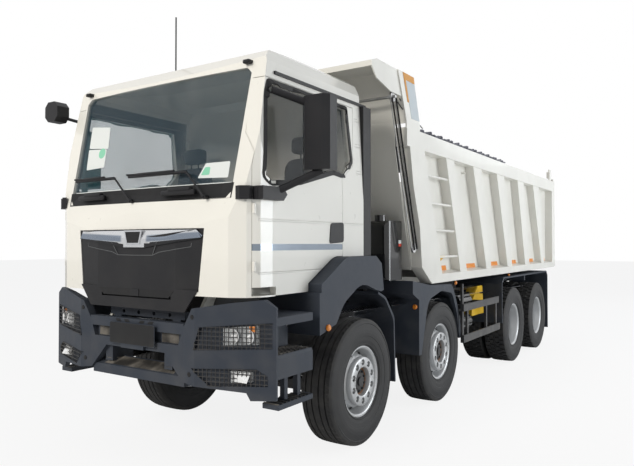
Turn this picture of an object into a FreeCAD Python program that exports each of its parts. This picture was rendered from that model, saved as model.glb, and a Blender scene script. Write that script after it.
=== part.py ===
import FreeCAD, Part

import math
import os
import re

import Sketcher

# Four-axle dump truck: the nose looks towards -Y, its left side is +X, up is +Z
# Lengths are in millimetres; y is counted from the first axle, z from the ground
SIZES = {
    # Whole vehicle
    "overall_length": 8810,
    "front_overhang": 1560,
    "second_axle": 1795,
    "third_axle": 4595,
    "fourth_axle": 5995,
    "overrun": 400,
    "seat_gap": 0.3,
    # Tyres and rims
    "tyre_radius": 553,
    "tyre_half_width": 160,
    "tread_half_width": 132,
    "shoulder_drop": 24,
    "sidewall_drop": 120,
    "rim_radius": 298,
    "rim_half_width": 127,
    "flange_lip": 12,
    "flange_rise": 14,
    "barrel_wall": 16,
    "disc_offset": 175,
    "disc_wall": 14,
    "disc_shoulder_radius": 205,
    "disc_root_share": 0.35,
    "hub_radius": 141,
    "hub_cap_radius": 100,
    "drum_radius": 205,
    "drum_length": 165,
    "hub_nose": 30,
    "stud_radius": 15,
    "stud_circle": 167,
    "stud_length": 34,
    "spindle_radius": 40,
    "front_wheel_centre": 1030,
    "outer_wheel_centre": 1072,
    # Steering knuckles and front axle beams
    "kingpin_centre": 860,
    "kingpin_radius": 30,
    "kingpin_length": 250,
    "boss_radius": 46,
    "boss_length": 150,
    "yoke_wall": 38,
    "yoke_gap": 6,
    "carrier_length": 45,
    "beam_depth": 110,
    "beam_drop": 95,
    "beam_knee": 560,
    # Rear axles and driveline
    "axle_tube_radius": 85,
    "axle_tube_end": 540,
    "differential_radius": 215,
    "differential_length": 300,
    "shaft_radius": 55,
    "shaft_front": 1330,
    # Frame
    "rail_outer": 385,
    "rail_bottom": 820,
    "rail_height": 270,
    "rail_flange": 85,
    "rail_wall": 9,
    "rail_front": -1290,
    "rail_rear": 6900,
    "member_width": 90,
    "member_height": 150,
    "subframe_height": 155,
    "subframe_width": 90,
    "subframe_front": 700,
    "subframe_rear": 6735,
    "tip_ear_width": 45,
    "tip_ear_half": 88,
    "tip_ear_rise": 60,
    # Springs
    "spring_centre": 440,
    "spring_width": 80,
    "leaf_height": 18,
    "leaf_step": 95,
    "front_spring_half": 700,
    "bogie_spring_half": 747,
    # Engine
    "engine_half_width": 280,
    "engine_front": -950,
    "engine_rear": 350,
    "engine_bottom": 760,
    "engine_top": 1560,
    "engine_foot": 27,
    # Cab form
    "cab_half_width": 1120,
    "cab_bottom": 1385,
    "cab_front": -1530,
    "cab_rear": 110,
    "cab_wall": 55,
    "cab_rear_floor": 1655,
    "arch_front": -770,
    "arch_knee": 1450,
    "arch_crown": -393,
    "nose_top": 1735,
    "screen_base": -1502,
    "screen_brow": -1293,
    "screen_foot_y": -1492,
    "screen_foot_z": 2085,
    "screen_head_y": -1285,
    "screen_head_z": 3080,
    "screen_bow": 15200,
    "bow_reach": 2500,
    "roof_front_y": -1170,
    "roof_front_z": 3195,
    "roof_top_y": -540,
    "roof_top": 3280,
    "roof_rear_y": 40,
    "roof_rear_top": 3262,
    "roof_rear": 3195,
    "belt_height": 2150,
    "gutter_half_width": 1078,
    "gutter_height": 3010,
    "roof_eave_half_width": 1074,
    "roof_eave_height": 3105,
    "roof_shoulder_half_width": 1033,
    "roof_shoulder_height": 3198,
    "roof_side_half_width": 952,
    "roof_side_height": 3250,
    "roof_crown_half_width": 560,
    "roof_crown_height": 3300,
    "corner_rear": -1230,
    "corner_middle_x": 1103,
    "corner_middle_y": -1345,
    "corner_nose_x": 1045,
    "corner_nose_y": -1430,
    "corner_front_x": 930,
    "corner_front_y": -1490,
    "plan_nose": -1580,
    "tunnel_half_width": 440,
    "tunnel_front": -1200,
    "tunnel_top": 1700,
    "cab_pivot_y": -1340,
    "cab_pivot_z": 1100,
    "cab_pin_radius": 22,
    "cab_ear_inner": 470,
    "cab_ear_wall": 30,
    "cab_ear_half": 45,
    "cab_ear_root": 225,
    # Windscreen and doors
    "glass_depth": 20,
    "glass_wall": 6,
    "screen_low": 2090,
    "screen_high": 3062,
    "screen_foot_half": 925,
    "screen_head_half": 955,
    "screen_corner": 45,
    "door_gap": 5,
    "door_reach": 975,
    "door_front": -1400,
    "door_hinge_x": 1085,
    "door_hinge_y": -1394,
    "hinge_radius": 11,
    "hinge_length": 70,
    "hinge_rise": 120,
    "door_belt": 2318,
    "door_pillar_y": -1312,
    "door_pillar_z": 2866,
    "door_head_y": -1280,
    "door_top": 2975,
    "door_top_rear": -15,
    "door_quarter_y": -55,
    "door_quarter_z": 2450,
    "door_rear": -250,
    "door_step_y": -1194,
    "window_high": 2931,
    "window_front_y": -1257,
    "window_front_z": 2844,
    "window_head_y": -1225,
    "window_sill_front": -1295,
    "window_sill_low": -1241,
    "window_sill": 2254,
    "window_low": 2217,
    "window_dip_y": -882,
    "window_dip_z": 2249,
    "window_step_y": -391,
    "window_step_z": 2374,
    "window_rear_y": -216,
    "window_rear_z": 2355,
    "window_back_y": -95,
    "window_back_z": 2489,
    "window_top_rear": -150,
    # Mirrors
    "pod_wall": 45,
    "pod_low": 2075,
    "pod_high": 2170,
    "pod_rear": -1110,
    "arm_radius": 28,
    "arm_foot_y": -1190,
    "arm_foot_z": 2150,
    "arm_head_y": -1225,
    "arm_head_z": 2880,
    "housing_front": -1060,
    "housing_rear": -920,
    "housing_inner": 1235,
    "housing_outer": 1474,
    "housing_low": 2300,
    "housing_high": 2845,
    "housing_bevel": 45,
    "kerb_inner": 1150,
    "kerb_outer": 1335,
    "kerb_front": -1450,
    "kerb_rear": -1330,
    "kerb_low": 2870,
    "kerb_high": 3050,
    # Grille panel and cab trim
    "grille_half_top": 718,
    "grille_half_bottom": 668,
    "grille_flat_half": 450,
    "grille_side_y": -1505,
    "grille_rear": -1486,
    "grille_top": 1876,
    "grille_bottom": 1415,
    "flap_half_width": 541,
    "flap_low": 1262,
    "flap_wall": 12,
    "flap_slot_half": 400,
    "flap_slot_low": 1347,
    "flap_slot_high": 1372,
    "chrome_half_width": 655,
    "chrome_tip": 1868,
    "chrome_low_tip": 1806,
    "chrome_middle": 1731,
    "chrome_wall": 14,
    "pocket_half_width": 90,
    "pocket_top": 1806,
    "intake_wall": 160,
    "intake_rear": 250,
    "gutter_front": -1162,
    "gutter_rear": 205,
    "gutter_wall": 14,
    "gutter_rise": 24,
    "wiper_right_share": 0.084,
    "elbow_right_share": 0.345,
    "tip_right_share": 0.92,
    "wiper_left_share": 0.774,
    "elbow_left_share": 0.54,
    "tip_left_share": 0.186,
    "wiper_radius": 8,
    "wiper_pivot": 2100,
    "wiper_elbow": 2296,
    "wiper_tip": 2315,
    "antenna_y": -1110,
    "antenna_foot": 3180,
    "antenna_top": 3670,
    "antenna_radius": 6,
    # Cab interior
    "dash_front": -1380,
    "dash_rear": -1060,
    "dash_low": 1760,
    "dash_top": 2130,
    "dash_half_width": 985,
    "wheel_centre_x": 560,
    "wheel_centre_y": -960,
    "wheel_centre_z": 2190,
    "wheel_radius": 225,
    "wheel_grip": 16,
    "seat_centre": 690,
    "seat_half_width": 250,
    "seat_front": -640,
    "seat_rear": -130,
    "seat_low": 1930,
    "seat_top": 2060,
    "seat_back_top": 2740,
    "seat_back_wall": 120,
    "pedestal_half": 150,
    # Arch over the first wheel
    "arch_outer": 1243,
    "arch_inner": 650,
    "arch_lip": 50,
    "arch_wall": 22,
    "arch_foot": 1058,
    "arch_foot_front": -798,
    "arch_foot_inner": -602,
    "arch_mouth_top": 1432,
    "arch_mouth_crown": -135,
    "arch_mouth_knee": 1277,
    "arch_mouth_low": 1352,
    "arch_round": 300,
    "arch_mouth_front": -438,
    "arch_mouth_rear": 120,
    "arch_tail_y": 229,
    "arch_tail_z": 1585,
    "arch_tail_rear": 268,
    "arch_tail_low": 1345,
    # Fenders of the second axle
    "fender_outer": 1243,
    "fender_inner": 720,
    "fender_wall": 22,
    "fender_lip": 50,
    "fender_low": 625,
    "fender_front": 1050,
    "fender_step_z": 1190,
    "fender_nose": 900,
    "fender_nose_low": 1260,
    "fender_top": 1390,
    "fender_crown_y": 1345,
    "fender_crown_z": 1326,
    "fender_back_y": 2080,
    "fender_back_z": 1298,
    "fender_waist_y": 2365,
    "fender_waist_z": 985,
    "fender_rear": 2482,
    "fender_taper_outer": 1170,
    "fender_round": 200,
    "liner_nose": 336,
    "liner_top": 1318,
    "liner_bend_y": 486,
    "liner_bend_z": 1262,
    "liner_waist": 1050,
    "liner_rear": 676,
    "liner_low": 420,
    "liner_arm_y": 548,
    "liner_arm_top": 1172,
    "liner_outer": 1150,
    "liner_round": 150,
    "mouth_front": 1110,
    "mouth_shoulder_y": 1287,
    "mouth_shoulder_z": 1173,
    "mouth_crown_y": 1657,
    "mouth_crown_z": 1246,
    "mouth_rear_y": 2090,
    "mouth_rear_z": 1190,
    "mouth_waist_y": 2290,
    "mouth_waist_z": 930,
    "mouth_rear": 2390,
    # Bumper
    "bumper_half_width": 1249,
    "bumper_front": -1532,
    "bumper_nose_x": 655,
    "bumper_nose_y": -1541,
    "bumper_side_y": -1353,
    "bumper_rear": -1335,
    "bumper_wall": 70,
    "bumper_top": 1345,
    "shoulder_x": 926,
    "shoulder_low_x": 624,
    "shoulder_low_z": 1296,
    "cheek_x": 537,
    "cheek_z": 1157,
    "leg_top_x": 480,
    "leg_inner_x": 331,
    "leg_inner_z": 955,
    "leg_foot_x": 523,
    "leg_foot_z": 757,
    "chin_x": 634,
    "chin_z": 742,
    "corner_foot": 680,
    "corner_step_x": 1037,
    "corner_step_z": 721,
    "corner_heel_x": 1067,
    "corner_heel_z": 668,
    "corner_drop_x": 1160,
    "corner_drop_z": 1372,
    "corner_tip": 1319,
    "upper_bar_low": 1100,
    "upper_bar_high": 1178,
    "lower_bar_low": 950,
    "lower_bar_high": 1018,
    "plate_half_width": 259,
    "plate_low": 981,
    "plate_high": 1147,
    "plate_wall": 5,
    "tread_rear": -1380,
    "tread_rear_z": 845,
    "tread_front": -1512,
    "tread_front_z": 788,
    "tread_low": 715,
    "hole_share": 0.62,
    "beam_half_width": 430,
    "beam_rear": -1345,
    "beam_front": -1415,
    "beam_low": 1185,
    "beam_high": 1245,
    "beam_hole": 16,
    # Lamps and their guards
    "recess_depth": 30,
    "lens_depth": 14,
    "lamp_low_inner_x": 640,
    "lamp_high_inner_x": 690,
    "lamp_low_inner_z": 1000,
    "lamp_high_inner_z": 1165,
    "lamp_outer_x": 1222,
    "lamp_low_outer_z": 1036,
    "lamp_high_outer_z": 1215,
    "lens_inner_x": 860,
    "lens_outer_x": 1112,
    "fog_lens_inner": 915,
    "fog_lens_outer": 1070,
    "lens_gap": 22,
    "fog_inner_x": 622,
    "fog_inner_z": 868,
    "fog_foot_x": 762,
    "fog_low": 752,
    "fog_outer_x": 1190,
    "fog_outer_z": 845,
    "fog_top_x": 1108,
    "fog_top_z": 890,
    "mesh_bar": 5,
    "mesh_step": 32,
    "mesh_margin": 8,
    # Steps
    "step_outer": 1243,
    "step_well": 1010,
    "step_inner": 760,
    "step_rear": -895,
    "step_high": 1249,
    "step_high_lip": 1190,
    "step_well_top": 1170,
    "step_tread": 985,
    "step_edge": 962,
    "step_low_lip": 820,
    "step_low": 775,
    "hung_inner": 1100,
    "hung_low": 605,
    "hung_high": 642,
    "hung_front": -1318,
    "hanger_front": -1180,
    "hanger_rear": -1020,
    "hanger_width": 40,
    "hanger_outer": 1190,
    # Rear mudguards and lamps
    "guard_front": 3900,
    "guard_rear": 6640,
    "guard_low": 640,
    "guard_shoulder": 1200,
    "guard_top": 1286,
    "guard_bevel": 80,
    "guard_inner": 562,
    "guard_outer": 1240,
    "guard_arm_low": 1180,
    "flap_bottom": 276,
    "rubber_wall": 12,
    "lamp_bar_low": 950,
    "lamp_bar_high": 1030,
    "lamp_bar_rear": 6960,
    "lamp_bar_half": 1120,
    "tail_lamp_inner": 830,
    "tail_lamp_low": 890,
    "tail_lamp_high": 1095,
    "tail_lamp_rear": 7030,
    "underrun_half": 1166,
    "underrun_low": 470,
    "underrun_high": 560,
    "underrun_front": 6850,
    "underrun_rear": 6940,
    # Side guards, tanks and chocks
    "side_guard_outer": 1243,
    "side_guard_wall": 18,
    "side_guard_front": 2352,
    "side_guard_rear": 3742,
    "side_rail_low": 950,
    "side_rail_high": 1037,
    "side_foot_low": 575,
    "side_foot_high": 665,
    "side_post_top": 1280,
    "side_post_width": 45,
    "side_post_wall": 25,
    "side_arm_front": 2520,
    "oil_tank_front": 600,
    "oil_tank_rear": 950,
    "oil_tank_outer": 1120,
    "oil_tank_inner": 560,
    "oil_tank_bottom": 1400,
    "oil_tank_top": 1990,
    "filler_radius": 55,
    "filler_rise": 60,
    "air_tank_radius": 115,
    "air_tank_centre": 945,
    "air_tank_height": 735,
    "air_tank_front": 2750,
    "air_tank_rear": 3180,
    "fuel_tank_outer": 1180,
    "fuel_tank_inner": 560,
    "fuel_tank_front": 2600,
    "fuel_tank_rear": 3225,
    "fuel_tank_low": 640,
    "fuel_tank_high": 1150,
    "tank_bevel": 60,
    "strap_wall": 8,
    "chock_front": 3330,
    "chock_rear": 3830,
    "chock_inner": 860,
    "chock_outer": 1000,
    "chock_low": 785,
    "chock_high": 1170,
    # Dump body
    "bed_half_width": 1250,
    "sheet_inner": 1120,
    "sheet_wall": 12,
    "bed_floor": 1500,
    "floor_wall": 8,
    "rail_low": 1339,
    "rail_ledge": 1432,
    "ledge_slope": 30,
    "top_rail_low": 2731,
    "top_rail_high": 2914,
    "bed_rear": 6968,
    "post_rear": 7110,
    "cross_beam_width": 70,
    "cross_beam_height": 90,
    "wall_foot_y": 1111,
    "wall_foot_z": 1518,
    "wall_fold_y": 748,
    "wall_fold_z": 2976,
    "wall_top_y": 562,
    "kick_y": 1374,
    "post_low_y": 1695,
    "post_high_y": 1184,
    "rung_radius": 14,
    "rung_centre": 1215,
    "rung_lowest": 1618,
    "rung_pitch": 291,
    # Canopy
    "canopy_lip_y": 52,
    "canopy_lip_z": 3352,
    "canopy_lip_height": 50,
    "canopy_break_y": 148,
    "canopy_wall": 12,
    "canopy_high": 3437,
    "canopy_rear": 916,
    "canopy_foot": 1068,
    "canopy_foot_z": 3002,
    "gusset_knee_y": 150,
    "gusset_knee_z": 3262,
    "gusset_low_y": 428,
    "gusset_low_z": 3199,
    "gusset_root_y": 662,
    "gusset_side": 1225,
    # Tailgate
    "gate_hinge_y": 7020,
    "gate_hinge_z": 3030,
    "gate_front": 7125,
    "gate_skin": 10,
    "gate_rear": 7250,
    "gate_bottom": 1350,
    "gate_top": 2960,
    "gate_half_width": 1238,
    "gate_frame": 110,
    "gate_pin_radius": 20,
    "gate_ear_outer": 1215,
    "gate_ear_wall": 25,
    "gate_ear_half": 55,
    "gate_ear_top": 3130,
    "gate_arm_gap": 6,
    # Tipping hinge and cylinder
    "tip_hinge_y": 6750,
    "tip_hinge_z": 1120,
    "tip_pin_radius": 35,
    "barrel_base_y": 560,
    "barrel_base_z": 1000,
    "rod_head_y": 660,
    "rod_head_z": 2600,
    "barrel_length": 1480,
    "barrel_radius": 98,
    "stage_step": 12,
    "stage_wall": 7,
    "stage_rise": 15,
    "bracket_gap": 75,
    "bracket_wall": 22,
    "bracket_height": 150,
    # Tarpaulin and its drive
    "tarp_front": 1200,
    "tarp_rear": 4250,
    "tarp_half_width": 1215,
    "tarp_wall": 60,
    "drive_y": 510,
    "drive_z": 3165,
    "drive_radius": 14,
    "pulley_radius": 48,
    "pulley_wall": 22,
    "pulley_centre": 1212,
    "lower_pulley_y": 985,
    "lower_pulley_z": 1720,
    "rope_radius": 5,
    "hook_height": 70,
    "hook_width": 90,
    "hook_bar": 12,
    "hook_z": 1850,
    "ring_y": 2600,
    "ring_rear_y": 5259,
    "ring_z": 2640,
    # Side ribs, by the y places of their tops and feet
    "rib_one_top_front": 1811,
    "rib_one_top_rear": 2060,
    "rib_one_foot_front": 2253,
    "rib_one_foot_rear": 2471,
    "rib_two_top_front": 2716,
    "rib_two_top_rear": 3030,
    "rib_two_foot_front": 3223,
    "rib_two_foot_rear": 3431,
    "rib_three_top_front": 3689,
    "rib_three_top_rear": 4020,
    "rib_three_foot_front": 4185,
    "rib_three_foot_rear": 4423,
    "rib_four_top_front": 4729,
    "rib_four_top_rear": 5075,
    "rib_four_foot_front": 5147,
    "rib_four_foot_rear": 5405,
    "rib_five_top_front": 5659,
    "rib_five_top_rear": 6037,
    "rib_five_foot_front": 6202,
    "rib_five_foot_rear": 6406,
    "rib_inset": 88,
    "post_waist_y": 909,
    "post_waist_z": 2340,
    "post_low_front_y": 1061,
    "post_low_front_z": 1929,
    "post_lean": 35,
    "stay_rear": 664,
}
COUNT = ("one", "two", "three", "four", "five")
RIB_ENDS = ("top_front", "top_rear", "foot_front", "foot_rear")

doc = FreeCAD.newDocument("dump_truck")
sheet = doc.addObject("Spreadsheet::Sheet", "dims")
for row, (alias, value) in enumerate(SIZES.items(), start=1):
    sheet.set("A%d" % row, alias)
    sheet.set("B%d" % row, str(value))
    sheet.setAlias("B%d" % row, alias)
doc.recompute()

FACING = {
    "x": FreeCAD.Rotation(FreeCAD.Vector(1, 1, 1), 120),
    "y": FreeCAD.Rotation(FreeCAD.Vector(1, 0, 0), 90),
    "z": FreeCAD.Rotation(),
}
AXES = {"x": FreeCAD.Vector(1, 0, 0), "y": FreeCAD.Vector(0, 1, 0), "z": FreeCAD.Vector(0, 0, 1)}
SHIFT = "front_overhang - overall_length / 2"
NODES = []


def bind(item, path, expression):
    """Tie one property to the sheet."""
    def prefix(found):
        word = found.group()
        return "dims." + word if word in SIZES else word
    item.setExpression(path, re.sub(r"[a-z_]+", prefix, expression))


def place(item, spot):
    """Tie an object's position, given as three expressions."""
    for axis, expression in zip("xyz", spot):
        bind(item, "Placement.Base." + axis, expression)
    return item


def box(name, low, high):
    """Upright block between two corners."""
    item = doc.addObject("Part::Box", name)
    for side, first, last in zip(("Length", "Width", "Height"), low, high):
        bind(item, side, "(%s) - (%s)" % (last, first))
    return place(item, low)


def rod(name, axis, radius, spot, length):
    """Round bar that starts at a spot and runs along an axis."""
    item = doc.addObject("Part::Cylinder", name)
    turn = {"x": FreeCAD.Rotation(AXES["y"], 90), "y": FreeCAD.Rotation(AXES["x"], -90)}
    item.Placement.Rotation = turn.get(axis, FreeCAD.Rotation())
    bind(item, "Radius", radius)
    bind(item, "Height", length)
    return place(item, spot)


def corner_arc(before, corner, after, radius):
    """Arc that rounds a corner, its two ends along the outline, and which end of the arc comes first."""
    back = (before - corner).normalize()
    ahead = (after - corner).normalize()
    half = back.getAngle(ahead) / 2
    start = corner + back * (radius / math.tan(half))
    end = corner + ahead * (radius / math.tan(half))
    centre = corner + (back + ahead).normalize() * (radius / math.sin(half))
    turns = [math.atan2(spot.y - centre.y, spot.x - centre.x) for spot in (start, end)]
    first = 1 if (turns[1] - turns[0]) % (2 * math.pi) < math.pi else 2
    circle = Part.Circle(centre, AXES["z"], radius)
    return Part.ArcOfCircle(circle, turns[first - 1], turns[2 - first]), start, end, first


def round_corners(sketch, points):
    """Draw a closed outline, where a third expression at a corner is the radius of its rounding."""
    count = len(points)
    spots = [FreeCAD.Vector(evaluate(point[0]), evaluate(point[1]), 0) for point in points]
    arcs = {}
    ends = [(spot, spot) for spot in spots]
    for index, point in enumerate(points):
        if len(point) == 3:
            arc, start, end, first = corner_arc(spots[index - 1], spots[index], spots[(index + 1) % count],
                                                evaluate(point[2]))
            arcs[index] = (arc, first)
            ends[index] = (start, end)
    for index in range(count):
        sketch.addGeometry(Part.LineSegment(ends[index][1], ends[(index + 1) % count][0]), False)
    for index, point in enumerate(points):
        before = (index - 1) % count
        if index in arcs:
            arc, first = arcs[index]
            curve = sketch.addGeometry(arc, False)
            mark = sketch.addGeometry(Part.Point(spots[index]), True)
            sketch.addConstraint(Sketcher.Constraint("Tangent", before, 2, curve, first))
            sketch.addConstraint(Sketcher.Constraint("Tangent", curve, 3 - first, index, 1))
            sketch.addConstraint(Sketcher.Constraint("PointOnObject", mark, 1, before))
            sketch.addConstraint(Sketcher.Constraint("PointOnObject", mark, 1, index))
            number = sketch.addConstraint(Sketcher.Constraint("Radius", curve, arc.Radius))
            bind(sketch, "Constraints[%d]" % number, point[2])
        else:
            mark = index
            sketch.addConstraint(Sketcher.Constraint("Coincident", before, 2, index, 1))
        for kind, expression, value in zip(("DistanceX", "DistanceY"), point, spots[index]):
            number = sketch.addConstraint(Sketcher.Constraint(kind, mark, 1, value))
            bind(sketch, "Constraints[%d]" % number, expression)
    return sketch


def constrain(sketch, points):
    """Draw a closed outline whose corners are expressions."""
    count = len(points)
    if any(len(point) == 3 for point in points):
        return round_corners(sketch, points)
    turns = [2 * math.pi * index / count for index in range(count)]
    start = [FreeCAD.Vector(math.cos(turn), math.sin(turn), 0) for turn in turns]
    for index in range(count):
        sketch.addGeometry(Part.LineSegment(start[index], start[(index + 1) % count]), False)
    for index in range(count):
        sketch.addConstraint(Sketcher.Constraint("Coincident", index, 2, (index + 1) % count, 1))
    for index, corner in enumerate(points):
        for kind, expression in zip(("DistanceX", "DistanceY"), corner):
            number = sketch.addConstraint(Sketcher.Constraint(kind, index, 1, 1.0))
            bind(sketch, "Constraints[%d]" % number, expression)
    return sketch


def prism(name, axis, points, first, last):
    """Outline across an axis, extruded between two places on it."""
    sketch = doc.addObject("Sketcher::SketchObject", name + "_outline")
    sketch.Placement.Rotation = FACING[axis]
    constrain(sketch, points)
    bind(sketch, "Placement.Base." + axis, first)
    item = doc.addObject("Part::Extrusion", name)
    item.Base = sketch
    item.DirMode = "Custom"
    item.Dir = AXES[axis]
    item.Solid = True
    bind(item, "LengthFwd", "(%s) - (%s)" % (last, first))
    return item


def lathe(name, points):
    """Body of revolution about X from (x, radius) corners."""
    body = doc.addObject("PartDesign::Body", name)
    plane = [part for part in body.Origin.OriginFeatures if part.Role == "XY_Plane"][0]
    line = [part for part in body.Origin.OriginFeatures if part.Role == "X_Axis"][0]
    sketch = body.newObject("Sketcher::SketchObject", name + "_outline")
    sketch.AttachmentSupport = [(plane, "")]
    sketch.MapMode = "FlatFace"
    constrain(sketch, points)
    turn = body.newObject("PartDesign::Revolution", name + "_turn")
    turn.Profile = sketch
    turn.ReferenceAxis = (line, [""])
    turn.Angle = 360
    return body


def leaning(name, piece, foot, head):
    """A piece whose own z axis leans in the YZ plane from a foot towards a head."""
    run, rise = (SIZES[last] - SIZES[first] for first, last in zip(foot, head))
    item = doc.addObject("Part::Compound", name)
    item.Links = [piece]
    item.Placement.Rotation = FreeCAD.Rotation(AXES["x"], -math.degrees(math.atan2(run, rise)))
    return place(item, ("0",) + foot)


def evaluate(expression):
    """Value of an expression in named sizes."""
    probe = doc.getObject("probe") or doc.addObject("App::FeaturePython", "probe")
    if "value" not in probe.PropertiesList:
        probe.addProperty("App::PropertyFloat", "value")
    bind(probe, "value", expression)
    probe.recompute()
    return probe.value


def bar(name, start, end, radius):
    """Round bar between two points, each given by three expressions."""
    points = [FreeCAD.Vector(*[evaluate(text) for text in point]) for point in (start, end)]
    item = doc.addObject("Part::Cylinder", name)
    item.Placement.Rotation = FreeCAD.Rotation(AXES["z"], points[1] - points[0])
    bind(item, "Radius", radius)
    bind(item, "Height", "sqrt(%s)" % " + ".join("(%s - (%s)) ^ 2" % pair for pair in zip(end, start)))
    return place(item, start)


def cut(name, base, *tools):
    """Base without the tools."""
    tool = tools[0] if len(tools) == 1 else fuse(name + "_tools", *tools)
    item = doc.addObject("Part::Cut", name)
    item.Base = base
    item.Tool = tool
    return item


def fuse(name, *parts):
    """One solid from several."""
    item = doc.addObject("Part::MultiFuse", name)
    item.Shapes = list(parts)
    item.Refine = True
    return item


def common(name, *parts):
    """What all the parts share."""
    item = doc.addObject("Part::MultiCommon", name)
    item.Shapes = list(parts)
    return item


def mirror(name, source):
    """The same thing on the other side of the vehicle."""
    item = doc.addObject("Part::Mirroring", name)
    item.Source = source
    item.Normal = AXES["x"]
    return item


def both(name, source):
    """A piece and its twin across the vehicle."""
    return [source, mirror(name + "_right", source)]


def copy(name, source, spot, turned=False):
    """A further copy at a spot, turned to face the other side on request."""
    item = doc.addObject("App::Link", name)
    item.LinkedObject = source
    if turned:
        item.Placement.Rotation = FreeCAD.Rotation(AXES["z"], 180)
    return place(item, spot)


def node(label, *pieces):
    """Gather pieces into one exported part."""
    item = doc.addObject("Part::Compound", label + "_part")
    item.Links = list(pieces)
    item.Label = label
    bind(item, "Placement.Base.y", SHIFT)
    NODES.append(item)
    return item


# Wheels
def build_tyre():
    return lathe("tyre_form", [
        ("-rim_half_width + flange_lip", "rim_radius - flange_rise + seat_gap"),
        ("-rim_half_width + flange_lip", "rim_radius + seat_gap"),
        ("-rim_half_width - flange_lip", "rim_radius + flange_rise * 2"),
        ("-tyre_half_width", "tyre_radius - sidewall_drop"),
        ("-tyre_half_width + flange_rise", "tyre_radius - shoulder_drop"),
        ("-tread_half_width", "tyre_radius"),
        ("tread_half_width", "tyre_radius"),
        ("tyre_half_width - flange_rise", "tyre_radius - shoulder_drop"),
        ("tyre_half_width", "tyre_radius - sidewall_drop"),
        ("rim_half_width + flange_lip", "rim_radius + flange_rise * 2"),
        ("rim_half_width - flange_lip", "rim_radius + seat_gap"),
        ("rim_half_width - flange_lip", "rim_radius - flange_rise + seat_gap"),
    ])


def build_rim(name, face):
    """Rim whose disc face lies at the given x, dished towards its barrel."""
    barrel = lathe(name + "_barrel", [
        ("-rim_half_width", "rim_radius - flange_rise - barrel_wall"),
        ("-rim_half_width", "rim_radius"),
        ("-rim_half_width + flange_lip", "rim_radius"),
        ("-rim_half_width + flange_lip", "rim_radius - flange_rise"),
        ("rim_half_width - flange_lip", "rim_radius - flange_rise"),
        ("rim_half_width - flange_lip", "rim_radius"),
        ("rim_half_width", "rim_radius"),
        ("rim_half_width", "rim_radius - flange_rise - barrel_wall"),
    ])
    root = "(%s) * disc_root_share" % face
    disc = lathe(name + "_disc", [
        (face, "hub_radius"),
        ("%s - disc_wall" % face, "hub_radius"),
        ("%s - disc_wall" % face, "disc_shoulder_radius"),
        ("%s - disc_wall" % root, "rim_radius - flange_rise - barrel_wall / 2"),
        (root, "rim_radius - flange_rise - barrel_wall / 2"),
        (face, "disc_shoulder_radius"),
    ])
    return fuse(name, barrel, disc)


def build_hub(name, face, drum_end):
    """Hub and brake drum behind the disc, with its ring of wheel nuts, bored for the spindle."""
    hub = lathe(name + "_body", [
        ("%s + hub_nose" % face, "spindle_radius + seat_gap"),
        ("%s + hub_nose" % face, "hub_cap_radius"),
        (face, "hub_cap_radius"),
        ("%s - disc_wall - seat_gap" % face, "hub_cap_radius"),
        ("%s - disc_wall - seat_gap" % face, "drum_radius"),
        (drum_end, "drum_radius"),
        (drum_end, "spindle_radius + seat_gap"),
    ])
    nut = doc.addObject("Part::Prism", name + "_nut")
    nut.Polygon = 6
    nut.Placement.Rotation = FreeCAD.Rotation(AXES["y"], 90)
    bind(nut, "Circumradius", "stud_radius")
    bind(nut, "Height", "stud_length")
    place(nut, ("%s + seat_gap" % face, "0", "stud_circle"))
    nuts = [nut]
    for index in range(1, 10):
        link = doc.addObject("App::Link", "%s_nut_%d" % (name, index))
        link.LinkedObject = nut
        turn = 2 * math.pi * index / 10
        place(link, ("%s + seat_gap" % face, "-stud_circle * %.6f" % math.sin(turn),
                     "stud_circle * %.6f" % math.cos(turn)))
        nuts.append(link)
    item = doc.addObject("Part::Compound", name)
    item.Links = [hub] + nuts
    return item


def build_wheels():
    tyre = build_tyre()
    front_rim = build_rim("front_rim", "rim_half_width - flange_lip")
    front_hub = build_hub("front_hub", "rim_half_width - flange_lip",
                          "rim_half_width - flange_lip - drum_length")
    outer_rim = build_rim("outer_rim", "-disc_offset + disc_wall")
    rear_hub = build_hub("rear_hub", "-disc_offset + disc_wall", "-disc_offset - drum_length * 2")
    axles = {"one": "0", "two": "second_axle", "three": "third_axle", "four": "fourth_axle"}
    for axle, spot in axles.items():
        for side, sign in (("left", ""), ("right", "-")):
            label = "axle_%s_%s" % (axle, side)
            turned = side == "right"
            if axle in ("one", "two"):
                centre = (sign + "front_wheel_centre", spot, "tyre_radius")
                node("tyre_" + label, copy("front_tyre_" + label, tyre, centre, turned))
                node("rim_" + label, copy("front_rim_" + label, front_rim, centre, turned),
                     copy("front_hub_" + label, front_hub, centre, turned))
            else:
                outer = (sign + "outer_wheel_centre", spot, "tyre_radius")
                inner = (sign + "(outer_wheel_centre - disc_offset * 2)", spot, "tyre_radius")
                node("tyre_" + label, copy("tyre_outer_" + label, tyre, outer, turned),
                     copy("tyre_inner_" + label, tyre, inner, turned))
                node("rim_" + label, copy("rim_outer_" + label, outer_rim, outer, turned),
                     copy("rim_inner_" + label, outer_rim, inner, not turned),
                     copy("hub_" + label, rear_hub, outer, turned))


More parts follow.
